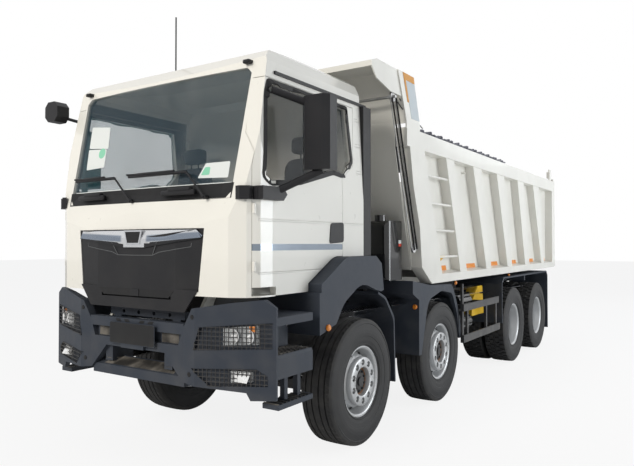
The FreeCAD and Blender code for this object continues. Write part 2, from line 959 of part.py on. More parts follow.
# Steering knuckles and axles
def build_knuckles():
    middle = "tyre_radius"
    pin = rod("kingpin", "z", "kingpin_radius",
              ("kingpin_centre", "0", "%s - kingpin_length / 2" % middle), "kingpin_length")
    reach = "kingpin_centre + boss_radius + yoke_gap"
    arms = []
    for name, start in (("upper", "%s + boss_length / 2 + yoke_gap" % middle),
                        ("lower", "%s - boss_length / 2 - yoke_gap - yoke_wall" % middle)):
        arms.append(box("yoke_" + name, ("kingpin_centre - boss_radius", "-boss_radius", start),
                        (reach, "boss_radius", start + " + yoke_wall")))
    carrier = box("yoke_back", (reach, "-boss_radius", "%s - kingpin_length / 2" % middle),
                  (reach + " + carrier_length", "boss_radius", "%s + kingpin_length / 2" % middle))
    spindle = rod("spindle", "x", "spindle_radius", (reach, "0", middle),
                  "front_wheel_centre + rim_half_width - (%s)" % reach)
    form = fuse("knuckle_form", pin, carrier, spindle, *arms)
    for axle, spot in (("one", "0"), ("two", "second_axle")):
        node("knuckle_axle_%s_left" % axle, copy("knuckle_left_" + axle, form, ("0", spot, "0")))
        node("knuckle_axle_%s_right" % axle,
             copy("knuckle_right_" + axle, form, ("0", spot, "0"), turned=True))


def build_axles():
    middle = "tyre_radius"
    drop = "%s - beam_drop" % middle
    knee = "beam_knee"
    beam = prism("front_beam", "y", [
        ("-kingpin_centre", middle + " - beam_depth / 2"),
        ("-%s" % knee, drop + " - beam_depth / 2"),
        (knee, drop + " - beam_depth / 2"),
        ("kingpin_centre", middle + " - beam_depth / 2"),
        ("kingpin_centre", middle + " + beam_depth / 2"),
        (knee, drop + " + beam_depth / 2"),
        ("-%s" % knee, drop + " + beam_depth / 2"),
        ("-kingpin_centre", middle + " + beam_depth / 2"),
    ], "-boss_radius", "boss_radius")
    bosses = []
    bores = []
    for side, sign in (("left", ""), ("right", "-")):
        spot = (sign + "kingpin_centre", "0", middle + " - boss_length / 2")
        bosses.append(rod("boss_" + side, "z", "boss_radius", spot, "boss_length"))
        hole = (sign + "kingpin_centre", "0", middle + " - boss_length")
        bores.append(rod("boss_bore_" + side, "z", "kingpin_radius + seat_gap", hole, "boss_length * 2"))
    front = cut("front_axle", fuse("front_axle_form", beam, *bosses), *bores)
    pieces = [front, copy("second_front_axle", front, ("0", "second_axle", "0"))]
    end = "outer_wheel_centre - disc_offset + hub_nose"
    tube = lathe("rear_axle_tube", [
        ("-(%s)" % end, "0"),
        ("-(%s)" % end, "spindle_radius"),
        ("-axle_tube_end", "spindle_radius"),
        ("-axle_tube_end", "axle_tube_radius"),
        ("-differential_length / 2", "axle_tube_radius"),
        ("-differential_length / 4", "differential_radius"),
        ("differential_length / 4", "differential_radius"),
        ("differential_length / 2", "axle_tube_radius"),
        ("axle_tube_end", "axle_tube_radius"),
        ("axle_tube_end", "spindle_radius"),
        (end, "spindle_radius"),
        (end, "0"),
    ])
    for axle in ("third_axle", "fourth_axle"):
        pieces.append(copy(axle + "_housing", tube, ("0", axle, middle)))
    level = "tyre_radius + rail_flange"
    pieces.append(rod("driveshaft", "y", "shaft_radius", ("0", "shaft_front", level),
                      "third_axle - shaft_front - differential_radius + shaft_radius"))
    pieces.append(rod("bogie_shaft", "y", "shaft_radius",
                      ("0", "third_axle + differential_radius - shaft_radius", level),
                      "fourth_axle - third_axle - differential_radius * 2 + shaft_radius * 2"))
    node("axles", fuse("axles_form", *pieces))


def leaf_pack(name, axle, seat, half, leaves):
    """Stack of leaves, each shorter than the one above it."""
    parts = []
    for index in range(leaves):
        length = "(%s - leaf_step * %d)" % (half, index)
        low = "%s - leaf_height * %d" % (seat, index + 1)
        parts.append(box("%s_leaf_%d" % (name, index),
                         ("spring_centre - spring_width / 2", "%s - %s" % (axle, length), low),
                         ("spring_centre + spring_width / 2", "%s + %s" % (axle, length),
                          low + " + leaf_height")))
    return fuse(name, *parts)


def build_springs():
    pieces = []
    front_seat = "tyre_radius - beam_drop + beam_depth / 2"
    for name, axle in (("first", "0"), ("second", "second_axle")):
        pack = leaf_pack(name + "_spring", axle, front_seat + " + leaf_height * 5", "front_spring_half", 5)
        hangers = []
        for end, sign in (("front", "-"), ("rear", "+")):
            where = "%s %s (front_spring_half - leaf_step / 2)" % (axle, sign)
            hangers.append(box("%s_hanger_%s" % (name, end),
                               ("rail_outer", where + " - leaf_step / 2", front_seat + " + leaf_height * 4"),
                               ("rail_outer + spring_width", where + " + leaf_step / 2",
                                "rail_bottom + rail_height / 3")))
        pieces += both(name + "_spring_set", fuse(name + "_spring_set", pack, *hangers))
    middle = "(third_axle + fourth_axle) / 2"
    top = "tyre_radius + axle_tube_radius + leaf_height * 6"
    pack = leaf_pack("bogie_spring", middle, top, "bogie_spring_half", 6)
    saddle = box("bogie_saddle", ("rail_outer", middle + " - leaf_step", top + " - leaf_height * 6"),
                 ("spring_centre + spring_width / 2", middle + " + leaf_step", "rail_bottom + rail_height / 3"))
    pads = []
    tubes = []
    for axle in ("third_axle", "fourth_axle"):
        pads.append(box("spring_pad_" + axle, ("rail_outer + leaf_height", axle + " - leaf_step / 2",
                                               "tyre_radius + axle_tube_radius / 2"),
                        ("spring_centre + spring_width / 2", axle + " + leaf_step / 2", top + " - leaf_height")))
        tubes.append(rod("pad_bore_" + axle, "x", "axle_tube_radius", ("0", axle, "tyre_radius"),
                         "axle_tube_end"))
    bogie = cut("bogie_spring_set", fuse("bogie_form", pack, saddle, *pads), *tubes)
    pieces += both("bogie_spring_set", bogie)
    node("springs", *pieces)


def build_frame():
    web = "rail_outer - rail_wall"
    top = "rail_bottom + rail_height"
    rail = prism("rail", "y", [
        ("rail_outer - rail_flange", "rail_bottom"),
        ("rail_outer", "rail_bottom"),
        ("rail_outer", top),
        ("rail_outer - rail_flange", top),
        ("rail_outer - rail_flange", top + " - rail_wall"),
        (web, top + " - rail_wall"),
        (web, "rail_bottom + rail_wall"),
        ("rail_outer - rail_flange", "rail_bottom + rail_wall"),
    ], "rail_front", "rail_rear")
    side = [rail]
    members = []
    crossings = ("rail_front", "engine_rear + member_width * 5", "second_axle + member_width * 8",
                 "third_axle - member_width * 8", "(third_axle + fourth_axle) / 2 - member_width / 2",
                 "rail_rear - member_width")
    for index, spot in enumerate(crossings):
        reach = web + " - seat_gap"
        members.append(box("member_%d" % index, ("-(%s)" % reach, spot, top + " - rail_wall - member_height"),
                           (reach, spot + " + member_width", top + " - rail_wall - seat_gap")))
    inner = "rail_outer - subframe_width"
    side.append(box("subframe_beam", (inner, "subframe_front", top),
                    ("rail_outer", "subframe_rear", top + " + subframe_height")))
    for index, spot in enumerate(crossings[2:-1]):
        reach = inner + " - seat_gap"
        members.append(box("subframe_member_%d" % index, ("-(%s)" % reach, spot, top),
                           (reach, spot + " + member_width", top + " + subframe_height * 3 / 4")))
    ear = box("tip_ear", ("rail_outer", "tip_hinge_y - tip_ear_half", "rail_bottom + rail_height / 3"),
              ("rail_outer + tip_ear_width", "tip_hinge_y + tip_ear_half", "tip_hinge_z + tip_ear_rise"))
    pin = rod("tip_pin", "x", "tip_pin_radius", ("rail_outer", "tip_hinge_y", "tip_hinge_z"),
              "subframe_width * 3 / 2")
    side += [ear, pin]
    trunnion = rod("trunnion_bar", "x", "tip_pin_radius", ("-(%s)" % web, "barrel_base_y", "barrel_base_z"),
                   "(%s) * 2" % web)
    pivot = rod("cab_pin", "x", "cab_pin_radius", ("rail_outer + seat_gap", "cab_pivot_y", "cab_pivot_z"),
                "cab_ear_inner + cab_ear_wall - rail_outer")
    seat_low = "rail_bottom + rail_height / 2"
    seat_high = "cab_pivot_z + cab_ear_half"
    seat = box("cab_pin_seat", ("rail_outer + seat_gap", "cab_pivot_y - cab_ear_half", seat_low),
               ("cab_ear_inner - yoke_gap", "rail_front + member_width", seat_high))
    root = box("cab_pin_root", (web, "rail_front + seat_gap", seat_low),
               ("rail_outer + yoke_gap", "rail_front + member_width", seat_high))
    side += [fuse("cab_pin_set", pivot, seat, root)]
    node("frame", *(both("rail_set", fuse("rail_set", *side)) + members + [trunnion]))


def build_engine():
    block = box("engine_block", ("-engine_half_width", "engine_front", "engine_bottom"),
                ("engine_half_width", "engine_rear", "engine_top"))
    feet = []
    top = "rail_bottom + rail_height + seat_gap"
    for index, spot in enumerate(("engine_front + member_width", "engine_rear - member_width * 2")):
        feet.append(box("engine_foot_%d" % index, ("-rail_outer", spot, top),
                        ("rail_outer", spot + " + member_width", top + " + engine_foot")))
    node("engine", fuse("engine_form", block, *feet))


# Cab
def cab_sides(name, inset):
    """Front view, plan and bowed nose of the cab taken together, drawn in by an inset."""
    front = prism(name + "_front", "y", [
        ("-cab_half_width + %s" % inset, "cab_bottom - overrun"),
        ("cab_half_width - %s" % inset, "cab_bottom - overrun"),
        ("cab_half_width - %s" % inset, "belt_height"),
        ("gutter_half_width - %s" % inset, "gutter_height"),
        ("roof_eave_half_width - %s" % inset, "roof_eave_height"),
        ("roof_shoulder_half_width - %s" % inset, "roof_shoulder_height - %s / 2" % inset),
        ("roof_side_half_width - %s" % inset, "roof_side_height - %s" % inset),
        ("roof_crown_half_width", "roof_crown_height - %s" % inset),
        ("-roof_crown_half_width", "roof_crown_height - %s" % inset),
        ("-roof_side_half_width + %s" % inset, "roof_side_height - %s" % inset),
        ("-roof_shoulder_half_width + %s" % inset, "roof_shoulder_height - %s / 2" % inset),
        ("-roof_eave_half_width + %s" % inset, "roof_eave_height"),
        ("-gutter_half_width + %s" % inset, "gutter_height"),
        ("-cab_half_width + %s" % inset, "belt_height"),
    ], "cab_front - overrun", "cab_rear + overrun")
    left = [
        ("0", "plan_nose + %s" % inset),
        ("corner_front_x - %s / 2" % inset, "corner_front_y + %s" % inset),
        ("corner_nose_x - %s" % inset, "corner_nose_y + %s / 2" % inset),
        ("corner_middle_x - %s" % inset, "corner_middle_y + %s / 4" % inset),
        ("cab_half_width - %s" % inset, "corner_rear"),
        ("cab_half_width - %s" % inset, "cab_rear + overrun"),
    ]
    right = [("-(%s)" % wide, deep) for wide, deep in left[:0:-1]]
    block = prism(name + "_plan", "z", left + right, "cab_bottom - overrun", "roof_top + overrun")
    bow = rod(name + "_bow", "z", "screen_bow - %s" % inset, ("0", "screen_bow", "-bow_reach"), "bow_reach * 2")
    nose = leaning(name + "_nose", bow, ("screen_foot_y", "screen_foot_z"), ("screen_head_y", "screen_head_z"))
    return common(name, front, block, nose)


def cab_form(name, inset, sides):
    """Side view of the cab taken together with its other views."""
    side = prism(name + "_side", "x", [
        ("cab_front + %s" % inset, "cab_bottom + %s" % inset),
        ("cab_front + %s" % inset, "nose_top"),
        ("screen_base + %s" % inset, "screen_foot_z"),
        ("screen_brow + %s" % inset, "screen_head_z"),
        ("roof_front_y + %s" % inset, "roof_front_z - %s" % inset),
        ("roof_top_y", "roof_top - %s" % inset),
        ("roof_rear_y - %s / 2" % inset, "roof_rear_top - %s" % inset),
        ("cab_rear - %s" % inset, "roof_rear - %s" % inset),
        ("cab_rear - %s" % inset, "cab_rear_floor + %s" % inset),
        ("arch_crown", "cab_rear_floor + %s" % inset, "arch_round"),
        ("arch_front - %s" % inset, "arch_knee + %s" % inset),
        ("arch_front - %s" % inset, "cab_bottom + %s" % inset),
    ], "-cab_half_width - overrun", "cab_half_width + overrun")
    return common(name, side, sides)


def door_outline(gap, below):
    """Corners of the door in (y, z), drawn in by a gap, its lower edge let down by another."""
    return [
        ("door_front + %s" % gap, "arch_knee + %s - %s" % (gap, below)),
        ("door_front + %s" % gap, "door_belt"),
        ("door_pillar_y + %s" % gap, "door_pillar_z"),
        ("door_head_y + %s" % gap, "door_top - %s" % gap),
        ("door_top_rear - %s" % gap, "door_top - %s" % gap),
        ("door_quarter_y - %s" % gap, "door_quarter_z"),
        ("door_rear - %s" % gap, "door_belt"),
        ("door_rear - %s" % gap, "cab_rear_floor + %s - %s" % (gap, below)),
        ("arch_crown", "cab_rear_floor + %s - %s" % (gap, below), "arch_round"),
        ("arch_front - %s + %s" % (gap, below), "arch_knee + %s - %s" % (gap, below)),
        ("arch_front - %s + %s" % (gap, below), "cab_bottom + %s - %s" % (gap, below)),
        ("door_step_y + %s" % gap, "cab_bottom + %s - %s" % (gap, below)),
        ("door_step_y + %s" % gap, "arch_knee + %s - %s" % (gap, below)),
    ]


def window_outline():
    return [
        ("window_front_y", "window_front_z"),
        ("window_sill_front", "window_sill"),
        ("window_sill_low", "window_low"),
        ("window_dip_y", "window_dip_z"),
        ("window_step_y", "window_step_z"),
        ("window_rear_y", "window_rear_z"),
        ("window_back_y", "window_back_z"),
        ("window_top_rear", "window_high"),
        ("window_head_y", "window_high"),
    ]


def screen_outline():
    points = [
        ("screen_foot_half - screen_corner", "screen_low"),
        ("screen_foot_half", "screen_low + screen_corner"),
        ("screen_head_half", "screen_high - screen_corner"),
        ("screen_head_half - screen_corner", "screen_high"),
    ]
    return points + [("-(%s)" % wide, height) for wide, height in points[::-1]]


def build_cab():
    outer_sides = cab_sides("outer_sides", "0")
    inner_sides = cab_sides("inner_sides", "cab_wall")
    outer = cab_form("cab_outer", "0", outer_sides)
    inner = cab_form("cab_inner", "cab_wall", inner_sides)
    layer = cut("glass_layer", cab_sides("glass_outer", "glass_depth"),
                cab_sides("glass_inner", "(glass_depth + glass_wall)"))
    far = "cab_half_width + overrun"
    screen_hole = prism("screen_hole", "y", screen_outline(), "cab_front - overrun", "cab_front + overrun")
    opening = prism("door_opening", "x", door_outline("0", "cab_wall"), "door_reach", far)
    openings = both("door_opening", opening)
    tunnel_wall = box("tunnel_wall", ("-tunnel_half_width - cab_wall", "tunnel_front - cab_wall", "cab_bottom"),
                      ("tunnel_half_width + cab_wall", "cab_rear - cab_wall / 2", "tunnel_top + cab_wall"))
    tunnel = box("tunnel", ("-tunnel_half_width", "tunnel_front", "cab_bottom - overrun"),
                 ("tunnel_half_width", "cab_rear + overrun", "tunnel_top"))
    skin = cut("cab_skin", outer, inner)
    grille_hole = prism("grille_hole", "y", grille_outline(), "cab_front - overrun", "grille_rear")
    flap_hole = box("flap_hole", ("-grille_half_bottom", "cab_front - overrun", "cab_bottom - overrun"),
                    ("grille_half_bottom", "cab_front + flap_wall + seat_gap", "grille_bottom"))
    shell = cut("cab_shell_form", fuse("cab_with_tunnel", skin, common("tunnel_in_cab", tunnel_wall, outer)),
                tunnel, screen_hole, grille_hole, flap_hole, *openings)
    ear = prism("cab_ear", "x", [
        ("cab_pivot_y - cab_ear_half", "cab_pivot_z - cab_ear_half"),
        ("cab_pivot_y + cab_ear_half", "cab_pivot_z - cab_ear_half"),
        ("cab_pivot_y + cab_ear_root", "cab_bottom + cab_wall / 2"),
        ("cab_pivot_y + cab_ear_half * 3", "cab_bottom + cab_wall / 2"),
        ("cab_pivot_y - cab_ear_half", "cab_pivot_z + cab_ear_half"),
    ], "cab_ear_inner", "cab_ear_inner + cab_ear_wall")
    pin_hole = rod("cab_ear_hole", "x", "cab_pin_radius + seat_gap", ("rail_outer", "cab_pivot_y", "cab_pivot_z"),
                   "cab_ear_inner")
    ears = both("cab_ear_cut", cut("cab_ear_cut", ear, pin_hole))
    node("cab_shell", fuse("cab_shell_with_ears", shell, *ears))
    node("windscreen", common("windscreen_form", layer, screen_hole))
    door = common("door_form", outer_sides,
                  prism("door_block", "x", door_outline("door_gap", "0"), "door_reach", far))
    window = prism("window_hole", "x", window_outline(), "door_reach", far)
    hinges = []
    for index, height in enumerate(("arch_knee + hinge_rise", "window_low - hinge_rise * 2")):
        hinges.append(rod("hinge_%d" % index, "z", "hinge_radius", ("door_hinge_x", "door_hinge_y", height),
                          "hinge_length"))
        hinges.append(box("hinge_leaf_%d" % index, ("corner_nose_x", "door_front + door_gap", height),
                          ("door_hinge_x", "door_hinge_y + hinge_radius", height + " + hinge_length")))
    panel = fuse("door_panel", cut("door_cut", door, inner_sides, window), *hinges)
    pane = common("door_pane", layer, prism("pane_block", "x", window_outline(), "door_reach", far))
    for label, piece in (("door", panel), ("door_glass", pane)):
        node(label + "_left", piece)
        node(label + "_right", mirror(label + "_mirrored", piece))


def build_mirrors():
    pod = prism("mirror_pod", "x", [
        ("door_front + door_gap", "pod_low"),
        ("pod_rear - pod_wall", "pod_low"),
        ("pod_rear", "(pod_low + pod_high) / 2"),
        ("pod_rear - pod_wall", "pod_high"),
        ("door_front + door_gap", "pod_high"),
    ], "cab_half_width + seat_gap", "cab_half_width + pod_wall")
    plan = prism("mirror_pod_plan", "z", [
        ("corner_middle_x + seat_gap", "corner_middle_y"),
        ("corner_nose_x + seat_gap", "corner_nose_y"),
        ("corner_nose_x + pod_wall", "corner_nose_y"),
        ("corner_middle_x + pod_wall", "corner_middle_y"),
    ], "pod_low", "pod_high")
    corner = box("mirror_pod_corner", ("corner_nose_x", "door_front + door_gap", "pod_low"),
                 ("cab_half_width + pod_wall", "corner_middle_y", "pod_high"))
    side = ("cab_half_width + pod_wall / 2", "arm_foot_y", "arm_foot_z")
    tip_low = ("housing_outer - housing_bevel * 2", "(housing_front + housing_rear) / 2", "housing_low")
    head = ("gutter_half_width + arm_radius", "arm_head_y", "arm_head_z")
    tip_high = ("housing_inner + pod_wall", "housing_front + pod_wall", "housing_high - pod_wall")
    lower = bar("mirror_arm_low", side, tip_low, "arm_radius")
    upper = bar("mirror_arm_high", head, tip_high, "arm_radius")
    housing = prism("mirror_housing", "z", [
        ("housing_inner", "housing_rear"),
        ("housing_inner", "housing_front + housing_bevel"),
        ("housing_inner + housing_bevel", "housing_front"),
        ("housing_outer - housing_bevel", "housing_front"),
        ("housing_outer", "housing_front + housing_bevel"),
        ("housing_outer", "housing_rear"),
    ], "housing_low", "housing_high")
    set_left = fuse("mirror_set", pod, common("mirror_pod_front", plan, corner), lower, upper, housing)
    node("mirror_left", set_left)
    kerb = prism("kerb_housing", "y", [
        ("-kerb_outer", "kerb_low + housing_bevel"),
        ("-kerb_outer + housing_bevel", "kerb_low"),
        ("-kerb_inner - housing_bevel", "kerb_low"),
        ("-kerb_inner", "kerb_low + housing_bevel"),
        ("-kerb_inner", "kerb_high - housing_bevel"),
        ("-kerb_inner - housing_bevel", "kerb_high"),
        ("-kerb_outer + housing_bevel", "kerb_high"),
        ("-kerb_outer", "kerb_high - housing_bevel"),
    ], "kerb_front", "kerb_rear")
    kerb_arm = bar("kerb_arm", ("-(%s)" % head[0], head[1], head[2]),
                   ("-kerb_inner - housing_bevel", "kerb_rear - housing_bevel / 2", "kerb_low + housing_bevel"),
                   "arm_radius / 2")
    node("mirror_right", fuse("mirror_set_right", mirror("mirror_set_mirrored", set_left), kerb, kerb_arm))


def grille_outline():
    return [
        ("-grille_half_bottom", "grille_bottom"),
        ("grille_half_bottom", "grille_bottom"),
        ("grille_half_top", "grille_top"),
        ("-grille_half_top", "grille_top"),
    ]


def grille_plan(name, depth):
    """Bowed plan of the grille, whose face lies at a depth behind the cab's front."""
    return prism(name, "z", [
        ("-grille_half_top - overrun", "grille_rear"),
        ("-grille_half_top", "grille_side_y + %s" % depth),
        ("-grille_flat_half", "cab_front + %s" % depth),
        ("grille_flat_half", "cab_front + %s" % depth),
        ("grille_half_top", "grille_side_y + %s" % depth),
        ("grille_half_top + overrun", "grille_rear"),
    ], "grille_bottom - overrun", "grille_top + overrun")


def build_grille():
    slab = common("grille_slab", prism("grille_face", "y", grille_outline(), "cab_front", "grille_rear"),
                  grille_plan("grille_plan", "seat_gap"))
    flap = prism("grille_flap", "y", [
        ("-flap_half_width", "flap_low"),
        ("flap_half_width", "flap_low"),
        ("grille_half_bottom", "grille_bottom + flap_wall"),
        ("-grille_half_bottom", "grille_bottom + flap_wall"),
    ], "cab_front", "cab_front + flap_wall")
    slot = box("flap_slot", ("-flap_slot_half", "cab_front - overrun", "flap_slot_low"),
               ("flap_slot_half", "cab_front + overrun", "flap_slot_high"))
    bar_face = prism("chrome_face", "y", [
        ("-pocket_half_width", "chrome_middle"),
        ("pocket_half_width", "chrome_middle"),
        ("grille_half_top - chrome_wall", "chrome_low_tip"),
        ("chrome_half_width", "chrome_tip"),
        ("pocket_half_width * 2", "pocket_top + chrome_wall"),
        ("pocket_half_width", "pocket_top"),
        ("-pocket_half_width", "pocket_top"),
        ("-pocket_half_width * 2", "pocket_top + chrome_wall"),
        ("-chrome_half_width", "chrome_tip"),
        ("-grille_half_top + chrome_wall", "chrome_low_tip"),
    ], "cab_front - chrome_wall", "grille_rear")
    chrome = common("chrome_bar", bar_face, grille_plan("chrome_plan", "-chrome_wall"))
    node("grille", fuse("grille_form", cut("flap_cut", flap, slot), slab, chrome))


def build_cab_trim():
    intake = box("intake", ("cab_half_width - intake_wall", "cab_rear + seat_gap", "cab_rear_floor"),
                 ("cab_half_width", "intake_rear", "gutter_height - seat_gap"))
    gutter = prism("gutter", "y", [
        ("gutter_half_width", "gutter_height"),
        ("gutter_half_width + gutter_wall", "gutter_height"),
        ("gutter_half_width + gutter_wall", "gutter_height + gutter_rise"),
        ("gutter_half_width", "gutter_height + gutter_rise"),
    ], "gutter_front", "gutter_rear")
    pod = prism("pod_root_plan", "z", [
        ("corner_nose_x + seat_gap", "corner_nose_y"),
        ("corner_front_x + pod_wall", "corner_front_y + pod_wall / 2 - seat_gap"),
        ("corner_front_x + pod_wall * 2", "corner_front_y + pod_wall / 4 - seat_gap"),
        ("corner_nose_x + pod_wall * 2 / 3", "corner_nose_y - pod_wall / 4"),
        ("corner_nose_x + pod_wall * 4 / 5", "door_front - door_gap * 2"),
        ("corner_nose_x + pod_wall / 2", "door_front - door_gap"),
    ], "pod_low", "pod_high")
    wipers = []
    slope = "(screen_head_y - screen_foot_y) / (screen_head_z - screen_foot_z)"
    front = "screen_foot_y - gutter_rise"
    elbow_y = "%s + (wiper_elbow - screen_foot_z) * %s" % (front, slope)
    for side, sign in (("right", "-"), ("left", "")):
        foot = "%sscreen_foot_half * wiper_%s_share" % (sign, side)
        elbow = ("%sscreen_foot_half * elbow_%s_share" % (sign, side), elbow_y, "wiper_elbow")
        tip = ("-screen_foot_half * tip_%s_share" % side, elbow_y, "wiper_tip")
        wipers.append(bar("wiper_arm_" + side, (foot, front, "wiper_pivot"), elbow, "wiper_radius"))
        wipers.append(bar("wiper_blade_" + side, elbow, tip, "wiper_radius"))
        depth = "gutter_rise + (%s) ^ 2 / (screen_bow * 2) - (screen_foot_z - wiper_pivot) * %s" % (foot, slope)
        wipers.append(rod("wiper_boss_" + side, "y", "wiper_radius * 2", (foot, front, "wiper_pivot"),
                          depth + " - seat_gap * 12"))
    antenna = rod("antenna", "z", "antenna_radius", ("0", "antenna_y", "antenna_foot"),
                  "antenna_top - antenna_foot")
    clear = cut("antenna_seat", antenna, common("antenna_roof", cab_roof_block(), doc.getObject("cab_outer")))
    node("cab_trim", *(both("intake", intake) + both("gutter", gutter) + both("pod_root_plan", pod)
                       + [fuse("wiper_set", *wipers), clear]))


def cab_roof_block():
    return box("roof_block", ("-roof_crown_half_width", "roof_front_y", "belt_height"),
               ("roof_crown_half_width", "roof_top_y", "antenna_top"))


def cushion(name, low, high):
    """Padded block with bevelled long edges, given by two corners."""
    bevel = "pod_wall / 2"
    return prism(name, "x", [
        (low[1] + " + " + bevel, low[2]),
        (high[1] + " - " + bevel, low[2]),
        (high[1], low[2] + " + " + bevel),
        (high[1], high[2] + " - " + bevel),
        (high[1] + " - " + bevel, high[2]),
        (low[1] + " + " + bevel, high[2]),
        (low[1], high[2] + " - " + bevel),
        (low[1], low[2] + " + " + bevel),
    ], low[0], high[0])


def build_interior():
    dash = prism("dash", "x", [
        ("dash_front", "dash_low"),
        ("dash_rear - housing_bevel * 2", "dash_low"),
        ("dash_rear", "dash_top - housing_bevel * 3"),
        ("dash_rear - housing_bevel", "dash_top"),
        ("dash_front", "dash_top - housing_bevel"),
    ], "-dash_half_width", "dash_half_width")
    foot = box("dash_foot", ("-tunnel_half_width + cab_wall", "dash_rear - pedestal_half - housing_bevel * 2",
                             "tunnel_top + cab_wall + seat_gap"),
               ("tunnel_half_width - cab_wall", "dash_rear - housing_bevel * 2", "dash_low + housing_bevel"))
    ring = doc.addObject("Part::Torus", "steering_ring")
    bind(ring, "Radius1", "wheel_radius")
    bind(ring, "Radius2", "wheel_grip")
    ring.Placement.Rotation = FreeCAD.Rotation(AXES["x"], 30)
    place(ring, ("wheel_centre_x", "wheel_centre_y", "wheel_centre_z"))
    spoke = box("steering_spoke", ("wheel_centre_x - wheel_radius", "wheel_centre_y - wheel_grip",
                                   "wheel_centre_z - wheel_grip"),
                ("wheel_centre_x + wheel_radius", "wheel_centre_y + wheel_grip", "wheel_centre_z + wheel_grip"))
    column = bar("steering_column", ("wheel_centre_x", "wheel_centre_y", "wheel_centre_z"),
                 ("wheel_centre_x", "dash_rear - housing_bevel * 2", "dash_top - housing_bevel * 4"), "shaft_radius / 2")
    node("cab_interior", fuse("cab_interior_form", dash, foot, ring, spoke, column))
    wide = "seat_centre + seat_half_width"
    narrow = "seat_centre - seat_half_width"
    base = cushion("seat_base", (narrow, "seat_front", "seat_low"), (wide, "seat_rear", "seat_top"))
    back = cushion("seat_back", (narrow, "seat_rear - seat_back_wall", "seat_top + seat_gap"),
                   (wide, "seat_rear", "seat_back_top"))
    pedestal = box("pedestal", ("seat_centre - pedestal_half", "arch_crown", "cab_rear_floor + cab_wall + seat_gap"),
                   ("seat_centre + pedestal_half", "arch_crown + pedestal_half * 3 / 2", "seat_low - seat_gap"))
    node("seats", *(both("seat_base", base) + both("seat_back", back) + both("pedestal", pedestal)))


def arch_outline():
    """Outer edge of the arch in (y, z), from its front foot over the wheel to its rear foot."""
    return [
        ("arch_foot_front", "arch_foot"),
        ("arch_foot_front", "cab_bottom - seat_gap"),
        ("arch_front + seat_gap", "cab_bottom - seat_gap"),
        ("arch_front + seat_gap", "arch_knee - seat_gap"),
        ("arch_crown", "cab_rear_floor - seat_gap", "arch_round"),
        ("cab_rear + gutter_wall", "cab_rear_floor - seat_gap"),
        ("arch_tail_y", "arch_tail_z"),
        ("arch_tail_rear", "arch_tail_low"),
    ]


def arch_hollow():
    """Underside of the arch, a wall below its outer edge."""
    return [
        ("arch_foot_front + arch_wall", "arch_foot - overrun"),
        ("arch_foot_front + arch_wall", "cab_bottom - arch_wall * 3"),
        ("arch_mouth_front", "cab_rear_floor - arch_wall * 5", "arch_round"),
        ("arch_crown / 2", "cab_rear_floor - arch_wall * 2", "arch_round"),
        ("cab_rear", "cab_rear_floor - arch_wall * 3", "arch_round / 2"),
        ("arch_tail_y - arch_wall", "arch_tail_z - arch_wall * 3", "arch_round / 2"),
        ("arch_tail_rear", "arch_tail_low - arch_lip"),
        ("arch_tail_rear", "arch_foot - overrun"),
    ]


def build_arches():
    block = prism("arch_block", "x", arch_outline(), "arch_inner", "arch_outer")
    hollow = prism("arch_hollow", "x", arch_hollow(), "arch_inner - overrun", "arch_outer - arch_lip")
    mouth = prism("arch_mouth", "x", [
        ("arch_foot_inner", "arch_foot - overrun"),
        ("arch_foot_inner", "arch_foot"),
        ("arch_mouth_front", "arch_mouth_knee", "arch_round"),
        ("arch_mouth_crown", "arch_mouth_top", "arch_round"),
        ("arch_mouth_rear", "arch_mouth_low", "arch_round / 2"),
        ("arch_tail_rear + overrun", "arch_tail_low - arch_lip * 2"),
        ("arch_tail_rear + overrun", "arch_foot - overrun"),
    ], "arch_outer - arch_lip * 2", "arch_outer + overrun")
    node("cab_arches", *both("arch", cut("arch", block, hollow, mouth)))


# Front of the chassis
def face_strip(name, first, last):
    """Slab that follows the slanting lamp face of the bumper between two depths behind it."""
    return prism(name, "z", [
        ("cheek_x", "bumper_front + (%s)" % first),
        ("bumper_nose_x", "bumper_nose_y + (%s)" % first),
        ("bumper_half_width", "bumper_side_y + (%s)" % first),
        ("bumper_half_width", "bumper_side_y + (%s)" % last),
        ("bumper_nose_x", "bumper_nose_y + (%s)" % last),
        ("cheek_x", "bumper_front + (%s)" % last),
    ], "step_low - overrun", "bumper_top + overrun")


def headlamp_outline():
    return [
        ("lamp_low_inner_x", "lamp_low_inner_z"),
        ("lamp_outer_x", "lamp_low_outer_z"),
        ("lamp_outer_x", "lamp_high_outer_z"),
        ("lamp_high_inner_x", "lamp_high_inner_z"),
    ]


def foglamp_outline():
    return [
        ("fog_inner_x", "fog_inner_z"),
        ("fog_foot_x", "fog_low"),
        ("fog_outer_x", "fog_low + lens_gap"),
        ("fog_outer_x", "fog_outer_z"),
        ("fog_top_x", "fog_top_z"),
    ]


def across(name, outline):
    """Prism through the bumper from front to back."""
    return prism(name, "y", outline, "bumper_front - overrun", "bumper_rear + overrun")


